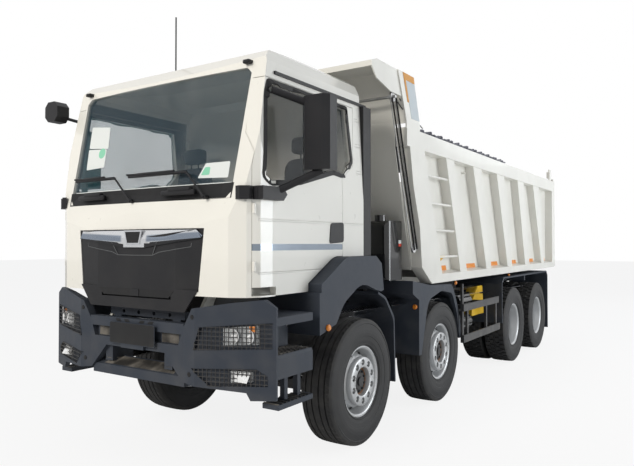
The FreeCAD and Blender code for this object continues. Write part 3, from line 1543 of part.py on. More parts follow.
def build_bumper():
    panel = across("corner_face", [
        ("leg_inner_x", "leg_inner_z"),
        ("leg_foot_x", "leg_foot_z"),
        ("chin_x", "chin_z"),
        ("corner_step_x", "corner_step_z"),
        ("corner_heel_x", "corner_heel_z"),
        ("bumper_half_width", "corner_foot"),
        ("bumper_half_width", "corner_tip"),
        ("corner_drop_x", "corner_drop_z"),
        ("shoulder_x", "bumper_top"),
        ("shoulder_low_x", "shoulder_low_z"),
        ("cheek_x", "cheek_z"),
        ("leg_top_x", "lower_bar_high"),
        ("leg_inner_x", "lower_bar_high"),
    ])
    plan = prism("corner_plan", "z", [
        ("leg_inner_x", "bumper_front"),
        ("cheek_x", "bumper_front"),
        ("bumper_nose_x", "bumper_nose_y"),
        ("bumper_half_width", "bumper_side_y"),
        ("bumper_half_width", "bumper_rear"),
        ("bumper_half_width - bumper_wall", "bumper_rear"),
        ("bumper_nose_x", "bumper_nose_y + bumper_wall"),
        ("leg_inner_x", "bumper_front + bumper_wall"),
    ], "corner_foot - overrun", "bumper_top + overrun")
    pocket = face_strip("lamp_pocket", "-overrun", "recess_depth")
    recesses = [common("headlamp_recess", across("headlamp_hole", headlamp_outline()), pocket),
                common("foglamp_recess", across("foglamp_hole", foglamp_outline()), pocket)]
    corner = cut("corner_cut", common("corner_form", panel, plan), *recesses)
    parts = both("bumper_corner", corner)
    back = "bumper_front + bumper_wall"
    parts.append(box("upper_bar", ("-cheek_x", "bumper_front", "upper_bar_low"), ("cheek_x", back, "upper_bar_high")))
    parts.append(box("lower_bar", ("-leg_top_x", "bumper_front", "lower_bar_low"),
                     ("leg_top_x", back, "lower_bar_high")))
    parts.append(box("bar_web", ("-leg_top_x", "bumper_front + bumper_wall / 2", "lower_bar_low"),
                     ("leg_top_x", back, "upper_bar_high")))
    parts.append(prism("bumper_tread", "x", [
        ("tread_rear", "tread_rear_z"),
        ("tread_rear", "tread_low"),
        ("tread_front", "tread_low"),
        ("tread_front", "tread_front_z"),
    ], "-leg_foot_x", "leg_foot_x"))
    parts.append(box("number_plate", ("-plate_half_width", "-front_overhang", "plate_low"),
                     ("plate_half_width", "-front_overhang + plate_wall", "plate_high")))
    parts.append(box("plate_holder", ("-plate_half_width / 2", "-front_overhang + plate_wall", "lower_bar_low"),
                     ("plate_half_width / 2", "bumper_front", "lower_bar_high")))
    for side, low, high in (("left", "rail_outer - rail_flange", "rail_outer"),
                            ("right", "-rail_outer", "-rail_outer + rail_flange")):
        parts.append(box("bumper_bracket_" + side, (low, "bumper_front + bumper_wall / 2", "rail_bottom"),
                         (high, "rail_front - seat_gap", "lower_bar_high")))
        parts.append(box("tread_bracket_" + side, (low, "tread_rear - rail_flange", "tread_low"),
                         (high, "tread_rear + rail_flange", "rail_bottom + rail_wall")))
        parts.append(box("beam_bracket_" + side, (low, "beam_front", "lower_bar_high - rail_wall"),
                         (high, "beam_rear", "beam_high")))
    beam = box("tow_beam", ("-beam_half_width", "beam_front", "beam_low"), ("beam_half_width", "beam_rear", "beam_high"))
    holes = []
    for index in range(4):
        holes.append(rod("beam_hole_%d" % index, "y", "beam_hole",
                         ("beam_half_width * hole_share * %d / 3" % (index * 2 - 3), "beam_front - beam_hole",
                          "(beam_low + beam_high) / 2"), "beam_rear - beam_front + beam_hole * 2"))
    parts.append(beam)
    node("bumper", cut("bumper_drilled", fuse("bumper_form", *parts), *holes))


def build_lamps():
    lens = face_strip("lens_strip", "lens_depth", "recess_depth - seat_gap")
    head = across("lens_outline", [
        ("lens_inner_x", "lamp_low_inner_z + lens_gap * 2"),
        ("lens_outer_x", "lamp_low_outer_z + lens_gap"),
        ("lens_outer_x", "lamp_high_outer_z - lens_gap"),
        ("lens_inner_x", "lamp_high_inner_z"),
    ])
    fog = across("fog_lens_outline", [
        ("fog_lens_inner", "fog_low + lens_gap * 3 / 2"),
        ("fog_lens_outer", "fog_low + lens_gap * 2"),
        ("fog_lens_outer", "fog_top_z - lens_gap"),
        ("fog_lens_inner", "fog_top_z - lens_gap"),
    ])
    tail = box("tail_lamp", ("tail_lamp_inner", "lamp_bar_rear + seat_gap", "tail_lamp_low"),
               ("lamp_bar_half", "tail_lamp_rear", "tail_lamp_high"))
    pieces = both("headlamp", common("headlamp", head, lens)) + both("foglamp", common("foglamp", fog, lens))
    pieces += both("tail_lamp", tail)
    node("lamps", *pieces)
    mesh = []
    rows = 17
    for index in range(rows):
        level = "fog_low + mesh_step * %d" % index
        mesh.append(box("mesh_row_%d" % index, ("fog_inner_x - mesh_margin", "bumper_front - overrun", level),
                        ("lamp_outer_x + mesh_margin", "bumper_rear", level + " + mesh_bar")))
    columns = 18
    for index in range(columns):
        level = "fog_inner_x + mesh_step * %d" % index
        mesh.append(box("mesh_column_%d" % index, (level, "bumper_front - overrun", "fog_low - mesh_margin"),
                        (level + " + mesh_bar", "bumper_rear", "lamp_high_outer_z + mesh_margin")))
    wires = face_strip("mesh_strip", "-seat_gap - mesh_bar", "-seat_gap")
    guards = []
    for name, outline in (("head", headlamp_outline()), ("fog", foglamp_outline())):
        guards.append(common(name + "_guard", fuse(name + "_mesh", *mesh), wires, across(name + "_span", outline)))
    node("lamp_guards", *(both("head_guard", guards[0]) + both("fog_guard", guards[1])))


def build_steps():
    front = "bumper_rear + seat_gap"
    block = prism("step_block", "y", [
        ("step_inner", "step_low"),
        ("step_well", "step_low"),
        ("step_outer", "step_low_lip"),
        ("step_outer", "step_edge"),
        ("step_outer - flange_lip", "step_tread"),
        ("step_well", "step_tread"),
        ("step_well", "step_well_top"),
        ("step_outer", "step_high_lip"),
        ("step_outer", "step_high"),
        ("step_inner", "step_high"),
    ], front, "step_rear")
    hung = box("hung_step", ("hung_inner", "hung_front", "hung_low"), ("step_outer", "step_rear", "hung_high"))
    bars = [block, hung]
    for index, spot in enumerate(("hanger_front", "hanger_rear")):
        bars.append(box("hanger_%d" % index, ("hanger_outer - hanger_width", spot, "hung_high - mesh_bar"),
                        ("hanger_outer", spot + " + hanger_width", "step_low_lip")))
    bracket = box("step_bracket", ("rail_outer + seat_gap", "step_rear - member_width * 3", "rail_bottom + rail_flange"),
                  ("step_inner", "step_rear - member_width * 2", "rail_bottom + rail_height - rail_wall"))
    node("steps", *both("step_set", fuse("step_set", bracket, *bars)))


def build_mudguards():
    outer = [
        ("fender_front", "fender_low"),
        ("fender_front", "fender_step_z"),
        ("fender_nose", "fender_nose_low"),
        ("fender_nose", "fender_top"),
        ("fender_crown_y", "fender_crown_z", "fender_round"),
        ("fender_back_y", "fender_back_z", "fender_round"),
        ("fender_waist_y", "fender_waist_z", "fender_round"),
        ("fender_rear", "fender_low"),
    ]
    hollow = [
        ("fender_front + fender_wall", "fender_low - overrun"),
        ("fender_front + fender_wall", "fender_step_z"),
        ("mouth_shoulder_y - fender_lip * 2", "fender_nose_low"),
        ("fender_crown_y", "fender_crown_z - fender_wall", "fender_round"),
        ("fender_back_y - fender_wall / 2", "fender_back_z - fender_wall", "fender_round"),
        ("fender_waist_y - fender_wall", "fender_waist_z", "fender_round"),
        ("fender_rear - fender_wall", "fender_low"),
        ("fender_rear - fender_wall", "fender_low - overrun"),
    ]
    mouth = [
        ("mouth_front", "fender_low - overrun"),
        ("mouth_front", "fender_low"),
        ("mouth_shoulder_y", "mouth_shoulder_z", "fender_round"),
        ("mouth_crown_y", "mouth_crown_z", "fender_round"),
        ("mouth_rear_y", "mouth_rear_z", "fender_round"),
        ("mouth_waist_y", "mouth_waist_z", "fender_round"),
        ("mouth_rear", "fender_low"),
        ("mouth_rear", "fender_low - overrun"),
    ]
    plan = prism("fender_plan", "z", [
        ("fender_inner", "fender_nose - overrun"),
        ("fender_outer", "fender_nose - overrun"),
        ("fender_outer", "(fender_crown_y + fender_back_y) / 2"),
        ("fender_taper_outer", "fender_waist_y"),
        ("fender_taper_outer", "fender_rear + overrun"),
        ("fender_inner", "fender_rear + overrun"),
    ], "fender_low - overrun", "fender_top + overrun")
    block = prism("fender_block", "x", outer, "fender_inner", "fender_outer")
    inside = prism("fender_hollow", "x", hollow, "fender_inner - overrun", "fender_taper_outer - fender_lip / 2")
    gap = prism("fender_mouth", "x", mouth, "fender_inner", "fender_outer + overrun")
    fender = cut("fender", common("fender_form", block, plan), inside, gap)
    arms = []
    level = "rail_bottom + rail_height / 2"
    for name, spot in (("front", "fender_front"), ("rear", "fender_waist_y - fender_wall")):
        arms.append(box("fender_arm_" + name, ("rail_outer + seat_gap", spot, level),
                        ("fender_inner + fender_lip", spot + " + fender_wall", level + " + rail_flange")))
    pieces = both("fender_set", fuse("fender_set", fender, *arms))
    liner = prism("liner_form", "x", [
        ("liner_nose", "liner_top"),
        ("liner_nose", "liner_top - fender_wall"),
        ("liner_bend_y - fender_wall / 2", "liner_bend_z - fender_wall", "liner_round"),
        ("liner_rear - fender_wall", "liner_waist - fender_wall", "liner_round"),
        ("liner_rear", "liner_low"),
        ("liner_rear + fender_wall", "liner_low"),
        ("liner_rear", "liner_waist", "liner_round"),
        ("liner_bend_y", "liner_bend_z", "liner_round"),
    ], "fender_inner", "liner_outer")
    stay = box("liner_arm", ("rail_outer + seat_gap", "liner_arm_y", "rail_bottom + rail_height - rail_flange"),
               ("fender_inner + fender_lip", "liner_arm_y + fender_wall", "liner_arm_top"))
    pieces += both("liner_set", fuse("liner_set", liner, stay))
    shell = [
        ("guard_front", "guard_low"),
        ("guard_front", "guard_shoulder"),
        ("guard_front + guard_bevel", "guard_top"),
        ("guard_rear - guard_bevel", "guard_top"),
        ("guard_rear", "guard_shoulder"),
        ("guard_rear", "guard_low"),
    ]
    inner = [
        ("guard_front + fender_wall", "guard_low - overrun"),
        ("guard_front + fender_wall", "guard_shoulder"),
        ("guard_front + guard_bevel + fender_wall", "guard_top - fender_wall"),
        ("guard_rear - guard_bevel - fender_wall", "guard_top - fender_wall"),
        ("guard_rear - fender_wall", "guard_shoulder"),
        ("guard_rear - fender_wall", "guard_low - overrun"),
    ]
    guard = cut("rear_guard", prism("guard_block", "x", shell, "guard_inner", "guard_outer"),
                prism("guard_hollow", "x", inner, "guard_inner - overrun", "guard_outer + overrun"))
    arm = box("guard_arm", ("rail_outer + seat_gap", "(third_axle + fourth_axle) / 2 - fender_lip / 2",
                            "guard_arm_low"),
              ("guard_outer - fender_lip", "(third_axle + fourth_axle) / 2 + fender_lip / 2",
               "guard_top - fender_wall / 2"))
    flap = box("rubber_flap", ("guard_inner", "guard_rear - rubber_wall", "flap_bottom"),
               ("guard_outer", "guard_rear", "guard_low"))
    slots = []
    for end, spot in (("front", "guard_front + guard_bevel + fender_wall"),
                      ("rear", "guard_rear - guard_bevel - fender_wall - seat_gap")):
        slots.append(box("guard_slot_" + end, ("guard_inner - overrun", spot, "guard_low - overrun"),
                         ("guard_outer + overrun", spot + " + seat_gap", "guard_top + overrun")))
    pieces += both("guard_set", cut("guard_set", fuse("guard_form", guard, arm, flap), *slots))
    node("mudguards", *pieces)


# Along the sides and at the rear
def build_side_guards():
    inner = "side_guard_outer - side_guard_wall"
    parts = [box("side_rail", (inner, "side_guard_front", "side_rail_low"),
                 ("side_guard_outer", "side_guard_rear", "side_rail_high")),
             box("side_foot", (inner, "side_guard_front", "side_foot_low"),
                 ("side_guard_outer", "side_guard_rear + side_post_width", "side_foot_high"))]
    post = inner + " - side_post_wall"
    parts.append(box("side_post_front", (post, "side_guard_front", "side_foot_low"),
                     (inner, "side_guard_front + side_post_width", "side_post_top")))
    parts.append(box("side_post_rear", (post, "side_guard_rear - side_post_width * 2", "side_foot_low"),
                     (inner, "side_guard_rear - side_post_width", "side_rail_high")))
    parts.append(box("side_stay_middle", (post, "side_arm_front", "side_foot_low"),
                     (inner, "side_arm_front + side_post_width", "side_rail_high")))
    low = "side_rail_low + side_guard_wall"
    parts.append(box("side_stay_rear", (post, "chock_front - side_post_width * 2", "side_foot_low"),
                     (inner, "chock_front - side_post_width", "side_rail_high")))
    for index, spot in enumerate(("side_arm_front", "chock_front - side_post_width * 2")):
        parts.append(box("side_arm_%d" % index, ("rail_outer + seat_gap", spot, low),
                         (post, spot + " + side_post_width", low + " + side_post_width")))
    side = fuse("side_guard", *parts)
    bar = box("underrun_bar", ("-underrun_half", "underrun_front", "underrun_low"),
              ("underrun_half", "underrun_rear", "underrun_high"))
    rear = [bar, box("lamp_bar", ("-lamp_bar_half", "lamp_bar_rear - strap_wall * 2", "lamp_bar_low"),
                     ("lamp_bar_half", "lamp_bar_rear", "lamp_bar_high"))]
    for side_name, start, end in (("left", "rail_outer - rail_flange", "rail_outer"),
                                  ("right", "-rail_outer", "-rail_outer + rail_flange")):
        rear.append(box("underrun_hanger_" + side_name, (start, "underrun_front", "underrun_low"),
                        (end, "underrun_rear", "rail_bottom - seat_gap")))
        rear.append(box("lamp_stay_" + side_name, (start, "rail_rear + seat_gap", "rail_bottom - seat_gap"),
                        (end, "lamp_bar_rear", "lamp_bar_high")))
        rear.append(box("lamp_stay_foot_" + side_name, (start, "rail_rear - rail_flange / 2", "rail_bottom - rail_flange"),
                        (end, "lamp_bar_rear", "rail_bottom - seat_gap")))
    node("side_guards", *(both("side_guard", side) + [fuse("underrun", *rear)]))


def tank_block(name, front, rear, inner, outer, low, high):
    """Tank with bevelled edges lengthwise."""
    return prism(name, "y", [
        ("%s + tank_bevel" % inner, low),
        ("%s - tank_bevel" % outer, low),
        (outer, "%s + tank_bevel" % low),
        (outer, "%s - tank_bevel" % high),
        ("%s - tank_bevel" % outer, high),
        ("%s + tank_bevel" % inner, high),
        (inner, "%s - tank_bevel" % high),
        (inner, "%s + tank_bevel" % low),
    ], front, rear)


def build_tanks():
    oil = common("oil_tank", prism("oil_tank_side", "x", [
        ("oil_tank_front", "oil_tank_bottom", "tank_bevel"),
        ("oil_tank_rear", "oil_tank_bottom", "tank_bevel"),
        ("oil_tank_rear", "oil_tank_top", "tank_bevel"),
        ("oil_tank_front", "oil_tank_top", "tank_bevel"),
    ], "oil_tank_inner", "oil_tank_outer"), prism("oil_tank_plan", "z", [
        ("oil_tank_inner", "oil_tank_front", "tank_bevel"),
        ("oil_tank_outer", "oil_tank_front", "tank_bevel"),
        ("oil_tank_outer", "oil_tank_rear", "tank_bevel"),
        ("oil_tank_inner", "oil_tank_rear", "tank_bevel"),
    ], "oil_tank_bottom", "oil_tank_top"))
    filler = rod("oil_filler", "z", "filler_radius",
                 ("oil_tank_outer - tank_bevel * 5 / 2", "oil_tank_front + tank_bevel * 2", "oil_tank_top - tank_bevel"),
                 "filler_rise + tank_bevel")
    foot = box("oil_tank_foot", ("rail_outer + seat_gap", "oil_tank_front", "rail_bottom + rail_height / 3"),
               ("oil_tank_inner + member_width", "oil_tank_rear", "rail_bottom + rail_height"))
    leg = box("oil_tank_leg", ("oil_tank_inner", "oil_tank_front", "rail_bottom + rail_height"),
              ("oil_tank_inner + member_width", "oil_tank_rear", "oil_tank_bottom + tank_bevel"))
    pieces = [fuse("oil_tank_set", oil, filler, foot, leg)]
    for index, height in enumerate(("air_tank_height", "air_tank_height + air_tank_radius * 9 / 4")):
        pieces.append(rod("air_tank_%d" % index, "y", "air_tank_radius", ("air_tank_centre", "air_tank_front", height),
                          "air_tank_rear - air_tank_front"))
    for index, spot in enumerate(("air_tank_front + member_width", "air_tank_rear - member_width * 3 / 2")):
        pieces.append(box("air_tank_stay_%d" % index, ("rail_outer + seat_gap", spot, "rail_bottom + rail_wall"),
                          ("air_tank_centre", spot + " + member_width / 2", "rail_bottom + rail_wall * 8")))
    chock = prism("chock", "x", [
        ("chock_front", "chock_low"),
        ("chock_rear", "chock_low"),
        ("chock_rear - tank_bevel", "chock_high"),
        ("chock_front + tank_bevel * 4", "chock_high"),
        ("chock_front", "(chock_low + chock_high) / 2"),
    ], "chock_inner", "chock_outer")
    shelf = box("chock_shelf", ("rail_outer + seat_gap", "chock_front + tank_bevel", "rail_bottom + rail_wall * 2"),
                ("chock_inner - seat_gap", "chock_rear - tank_bevel", "rail_bottom + rail_wall * 4"))
    node("chocks", chock)
    pieces.append(shelf)
    node("tanks", *[pieces[0], fuse("air_tank_set", *pieces[1:-1]), shelf])
    fuel = tank_block("fuel_tank_form", "fuel_tank_front", "fuel_tank_rear", "-fuel_tank_outer", "-fuel_tank_inner",
                      "fuel_tank_low", "fuel_tank_high")
    cap = rod("fuel_filler", "z", "filler_radius",
              ("-fuel_tank_outer + tank_bevel * 2", "fuel_tank_front + tank_bevel * 2", "fuel_tank_high - tank_bevel"),
              "filler_rise + tank_bevel")
    stays = []
    for index, spot in enumerate(("fuel_tank_front + member_width", "fuel_tank_rear - member_width * 2")):
        stays.append(box("fuel_stay_%d" % index, ("-fuel_tank_inner - tank_bevel", spot, "rail_bottom + rail_wall"),
                         ("-rail_outer - seat_gap", spot + " + member_width", "rail_bottom + rail_height / 2")))
    node("fuel_tank", fuse("fuel_tank_set", fuel, cap, *stays))


# Dump body
def rib(name, top_front, top_rear, foot_front, foot_rear):
    """Leaning side rib, given by the names of its four y places."""
    return prism(name, "x", [
        (foot_front, "rail_ledge"),
        (foot_rear, "rail_ledge"),
        (top_rear, "top_rail_low"),
        (top_front, "top_rail_low"),
    ], "sheet_inner + sheet_wall / 2", "bed_half_width - ledge_slope / 3")


def build_bed():
    skin = ("sheet_inner", "sheet_inner + sheet_wall")
    side_sheet = prism("side_sheet", "x", [
        ("kick_y", "rail_low"),
        ("bed_rear", "rail_low"),
        ("bed_rear", "top_rail_high"),
        ("canopy_foot", "top_rail_high"),
        ("wall_fold_y + sheet_wall", "top_rail_high"),
        ("wall_foot_y", "wall_foot_z"),
    ], *skin)
    cheek = prism("canopy_cheek", "x", [
        ("wall_fold_y", "top_rail_high - canopy_wall"),
        ("canopy_foot", "top_rail_high - canopy_wall"),
        ("canopy_foot", "canopy_foot_z"),
        ("canopy_rear", "canopy_high"),
        ("wall_top_y", "canopy_high"),
        ("wall_fold_y", "wall_fold_z"),
    ], "bed_half_width - canopy_wall", "bed_half_width")
    low_rail = prism("low_rail", "y", [
        ("sheet_inner + sheet_wall / 2", "rail_low"),
        ("bed_half_width", "rail_low"),
        ("bed_half_width", "rail_ledge"),
        ("sheet_inner + sheet_wall / 2", "rail_ledge + ledge_slope"),
    ], "kick_y", "bed_rear")
    top_rail = box("top_rail", ("sheet_inner + sheet_wall / 2", "wall_fold_y + canopy_wall", "top_rail_low"),
                   ("bed_half_width", "bed_rear", "top_rail_high"))
    ribs = []
    for index in range(5):
        ribs.append(rib("rib_%d" % index, *["rib_%s_%s" % (COUNT[index], end) for end in RIB_ENDS]))
    post = prism("front_post", "x", [
        ("canopy_rear - rib_inset", "top_rail_low"),
        ("post_waist_y", "post_waist_z"),
        ("post_low_front_y", "post_low_front_z"),
        ("wall_foot_y", "wall_foot_z"),
        ("kick_y", "rail_low"),
        ("post_low_y", "rail_low"),
        ("post_high_y", "top_rail_low"),
    ], "sheet_inner + sheet_wall / 2", "bed_half_width")
    rear_post = box("rear_post", ("sheet_inner", "bed_rear - seat_gap", "rail_low"),
                    ("bed_half_width", "post_rear", "top_rail_high"))
    gate_ear = box("gate_ear", ("gate_ear_outer - gate_ear_wall", "gate_hinge_y - gate_ear_half",
                                "top_rail_high - gate_ear_wall"),
                   ("gate_ear_outer", "gate_hinge_y + gate_ear_half", "gate_ear_top"))
    gate_pin = rod("gate_pin", "x", "gate_pin_radius",
                   ("gate_ear_outer - gate_ear_wall * 2 - gate_arm_gap", "gate_hinge_y", "gate_hinge_z"),
                   "gate_ear_wall + gate_arm_gap * 2")
    rungs = []
    for index in range(4):
        height = "rung_lowest + rung_pitch * %d" % index
        share = "(%s - rail_ledge) / (top_rail_low - rail_ledge)" % height
        start = "post_low_y - post_lean + (post_high_y - post_low_y + post_lean) * %s" % share
        end = "rib_one_foot_front + (rib_one_top_front - rib_one_foot_front) * %s" % share
        rungs.append(rod("rung_%d" % index, "y", "rung_radius",
                         ("rung_centre", "%s - rung_radius" % start, height),
                         "%s - (%s) + rung_radius * 2" % (end, start)))
    form = (side_sheet, cheek, low_rail, top_rail, post, rear_post, gate_ear, gate_pin) + tuple(ribs)
    side = fuse("bed_side", *form)
    node("bed_sides", fuse("bed_side_ladder", side, *rungs), mirror("bed_side_right", side))
    build_bed_floor()
    build_bed_front()


def build_bed_floor():
    rest = "rail_bottom + rail_height + subframe_height + seat_gap"
    under = "bed_floor - floor_wall - cross_beam_height"
    below = under + " - seat_gap"
    inner = "rail_outer - subframe_width"
    edge = "sheet_inner - seat_gap"
    beams = []
    for index in range(9):
        spot = "kick_y + (bed_rear - kick_y - cross_beam_width) * %d / 8" % index
        beams.append(box("cross_beam_%d" % index, ("-(%s)" % edge, spot, under),
                         (edge, spot + " + cross_beam_width", "bed_floor - floor_wall")))
    floor = box("floor_plate", ("-(%s)" % edge, "wall_foot_y + sheet_wall + seat_gap", "bed_floor - floor_wall"),
                (edge, "bed_rear", "bed_floor"))
    wide = "rail_outer + tip_ear_width + yoke_gap"
    eye = box("tip_eye", (wide, "tip_hinge_y - member_width / 2", "tip_hinge_z - member_width / 2"),
              ("rail_outer + subframe_width", "tip_hinge_y + member_width / 2", below))
    hole = rod("tip_eye_hole", "x", "tip_pin_radius + seat_gap", ("rail_outer", "tip_hinge_y", "tip_hinge_z"),
               "subframe_width * 2")
    tie = box("tip_tie", (inner, "tip_hinge_y - member_width / 2", rest),
              ("rail_outer + subframe_width", "tip_hinge_y + member_width / 2", below))
    beam = box("bed_beam", (inner, "kick_y", rest), ("rail_outer", "bed_rear", below))
    node("bed_beams", *both("bed_beam_set", fuse("bed_beam_set", beam, cut("tip_eye_cut", eye, hole), tie)))
    node("bed_floor", fuse("bed_floor_form", floor, *beams))


def build_bed_front():
    edge = "sheet_inner - seat_gap"
    wall = prism("front_wall", "x", [
        ("wall_foot_y", "bed_floor - floor_wall"),
        ("wall_foot_y + sheet_wall", "bed_floor - floor_wall"),
        ("wall_foot_y + sheet_wall", "wall_foot_z"),
        ("wall_fold_y + sheet_wall", "top_rail_low"),
        ("wall_fold_y + sheet_wall", "wall_fold_z"),
        ("wall_fold_y", "wall_fold_z"),
        ("wall_fold_y", "top_rail_low"),
        ("wall_foot_y", "wall_foot_z"),
    ], "-(%s)" % edge, edge)
    wide = "bed_half_width - canopy_wall - seat_gap"
    head = prism("front_head", "x", [
        ("wall_fold_y", "wall_fold_z - canopy_wall * 2"),
        ("wall_fold_y + sheet_wall", "wall_fold_z - canopy_wall * 2"),
        ("wall_fold_y + sheet_wall", "wall_fold_z"),
        ("wall_top_y + sheet_wall", "canopy_high"),
        ("canopy_break_y", "canopy_high"),
        ("canopy_lip_y", "canopy_lip_z + canopy_lip_height"),
        ("canopy_lip_y", "canopy_lip_z"),
        ("canopy_lip_y + canopy_wall", "canopy_lip_z"),
        ("canopy_lip_y + canopy_wall", "canopy_lip_z + canopy_lip_height - canopy_wall"),
        ("canopy_break_y", "canopy_high - canopy_wall"),
        ("wall_top_y", "canopy_high - canopy_wall"),
        ("wall_fold_y", "wall_fold_z"),
    ], "-(%s)" % wide, wide)
    gussets = both("gusset", prism("gusset", "x", [
        ("canopy_lip_y + canopy_wall / 2", "canopy_lip_z"),
        ("gusset_knee_y", "gusset_knee_z"),
        ("gusset_low_y", "gusset_low_z"),
        ("gusset_root_y", "gusset_low_z"),
        ("wall_top_y + canopy_wall / 2", "canopy_high - canopy_wall / 2"),
        ("canopy_break_y", "canopy_high - canopy_wall / 2"),
        ("canopy_lip_y + canopy_wall / 2", "canopy_lip_z + canopy_lip_height - canopy_wall"),
    ], "gusset_side", "gusset_side + canopy_wall"))
    ear = box("head_ear", ("bracket_gap", "rod_head_y - bracket_height / 3", "rod_head_z - bracket_height / 2"),
              ("bracket_gap + bracket_wall", "wall_foot_y", "rod_head_z + bracket_height / 2"))
    behind = prism("head_ear_side", "x", [
        ("rod_head_y - bracket_height", "wall_foot_z"),
        ("wall_foot_y + sheet_wall / 2", "wall_foot_z"),
        ("wall_fold_y + sheet_wall / 2", "top_rail_low"),
        ("rod_head_y - bracket_height", "top_rail_low"),
    ], "bracket_gap", "bracket_gap + bracket_wall")
    ears = both("head_ear", common("head_ear_form", ear, behind))
    node("bed_front", fuse("bed_front_form", wall, head, *gussets, *ears))


def build_tailgate():
    skin = box("gate_sheet", ("-gate_half_width", "gate_front", "gate_bottom"),
               ("gate_half_width", "gate_front + gate_skin", "gate_top"))
    parts = [skin]
    back = "gate_front + gate_skin / 2"
    for name, low in (("low", "gate_bottom"), ("middle", "(gate_bottom + gate_top - gate_frame) / 2"),
                      ("high", "gate_top - gate_frame")):
        parts.append(box("gate_bar_" + name, ("-gate_half_width", back, low),
                         ("gate_half_width", "gate_rear", low + " + gate_frame")))
    for index in range(6):
        spot = "-gate_half_width + (gate_half_width * 2 - gate_frame) * %d / 5" % index
        parts.append(box("gate_post_%d" % index, (spot, back, "gate_bottom + gate_frame / 2"),
                         (spot + " + gate_frame", "gate_rear - gate_skin", "gate_top - gate_frame / 2")))
    arm_x = "gate_ear_outer - gate_ear_wall * 2 - gate_arm_gap"
    arm = box("gate_arm", (arm_x, "gate_hinge_y - gate_ear_half", "gate_hinge_z - gate_ear_half"),
              (arm_x + " + gate_ear_wall", "gate_rear - gate_skin", "gate_hinge_z + gate_ear_half"))
    drop = box("gate_arm_drop", (arm_x, "gate_front", "gate_top - gate_skin"),
               (arm_x + " + gate_ear_wall", "gate_rear - gate_skin", "gate_hinge_z + gate_ear_half"))
    hole = rod("gate_arm_hole", "x", "gate_pin_radius + seat_gap",
               (arm_x + " - gate_ear_wall", "gate_hinge_y", "gate_hinge_z"), "gate_ear_wall * 4")
    arms = both("gate_arm_cut", cut("gate_arm_cut", fuse("gate_arm_form", arm, drop), hole))
    node("tailgate", fuse("tailgate_form", *parts, *arms))


def build_fittings():
    pieces = []
    outside = "sheet_inner + sheet_wall + seat_gap"
    for index in range(5):
        spot = "(rib_%s_top_rear + rib_%s_foot_rear) / 2 + hook_width * 3 / 2" % (COUNT[index], COUNT[index])
        bars = [box("hook_back_%d" % index, (outside, spot, "hook_z"),
                    (outside + " + hook_bar", spot + " + hook_width", "hook_z + hook_bar"))]
        for end, shift in (("front", "0"), ("rear", "hook_width - hook_bar")):
            bars.append(box("hook_%s_%d" % (end, index), (outside, "%s + %s" % (spot, shift), "hook_z"),
                            (outside + " + hook_bar", "%s + %s + hook_bar" % (spot, shift),
                             "hook_z + hook_height")))
        pieces += both("hook_%d" % index, fuse("hook_%d_form" % index, *bars))
    for index, spot in enumerate(("ring_y", "ring_rear_y")):
        pieces += both("cable_ring_%d" % index,
                       rod("cable_ring_%d" % index, "x", "hook_bar", (outside, spot, "ring_z"), "hook_width / 2"))
    node("bed_fittings", *pieces)


def build_tarp():
    node("tarp", cushion("tarp_form", ("-tarp_half_width", "tarp_front", "top_rail_high + seat_gap"),
                         ("tarp_half_width", "tarp_rear", "top_rail_high + tarp_wall")))
    pieces = []
    cross = rod("drive_rod", "x", "drive_radius", ("-bed_half_width", "drive_y", "drive_z"), "bed_half_width * 2")
    parts = [cross]
    for side, sign in (("left", ""), ("right", "-")):
        inner = "%s(pulley_centre + pulley_wall / 2)" % sign if sign else "pulley_centre - pulley_wall / 2"
        parts.append(rod("upper_pulley_" + side, "x", "pulley_radius", (inner, "drive_y", "drive_z"), "pulley_wall"))
        stay = "-pulley_centre + pulley_wall" if sign else "pulley_centre - pulley_wall * 2"
        parts.append(box("drive_stay_" + side, (stay, "drive_y - drive_radius", "drive_z - drive_radius"),
                         (stay + " + pulley_wall", "stay_rear", "drive_z + drive_radius")))
    pieces.append(fuse("drive_set", *parts))
    for side, sign in (("left", ""), ("right", "-")):
        start = "%s(pulley_centre + pulley_wall / 2)" % sign if sign else "pulley_centre - pulley_wall / 2"
        wheel = rod("lower_pulley_" + side, "x", "pulley_radius",
                    (start, "lower_pulley_y", "lower_pulley_z"), "pulley_wall")
        middle = sign + "pulley_centre"
        ropes = []
        for end, shift in (("front", "-"), ("rear", "+")):
            ropes.append(bar("rope_%s_%s" % (end, side),
                             (middle, "lower_pulley_y %s pulley_radius" % shift, "lower_pulley_z"),
                             (middle, "drive_y %s pulley_radius" % shift, "drive_z"), "rope_radius"))
        pieces.append(fuse("rope_set_" + side, wheel, *ropes))
    node("tarp_drive", *pieces)


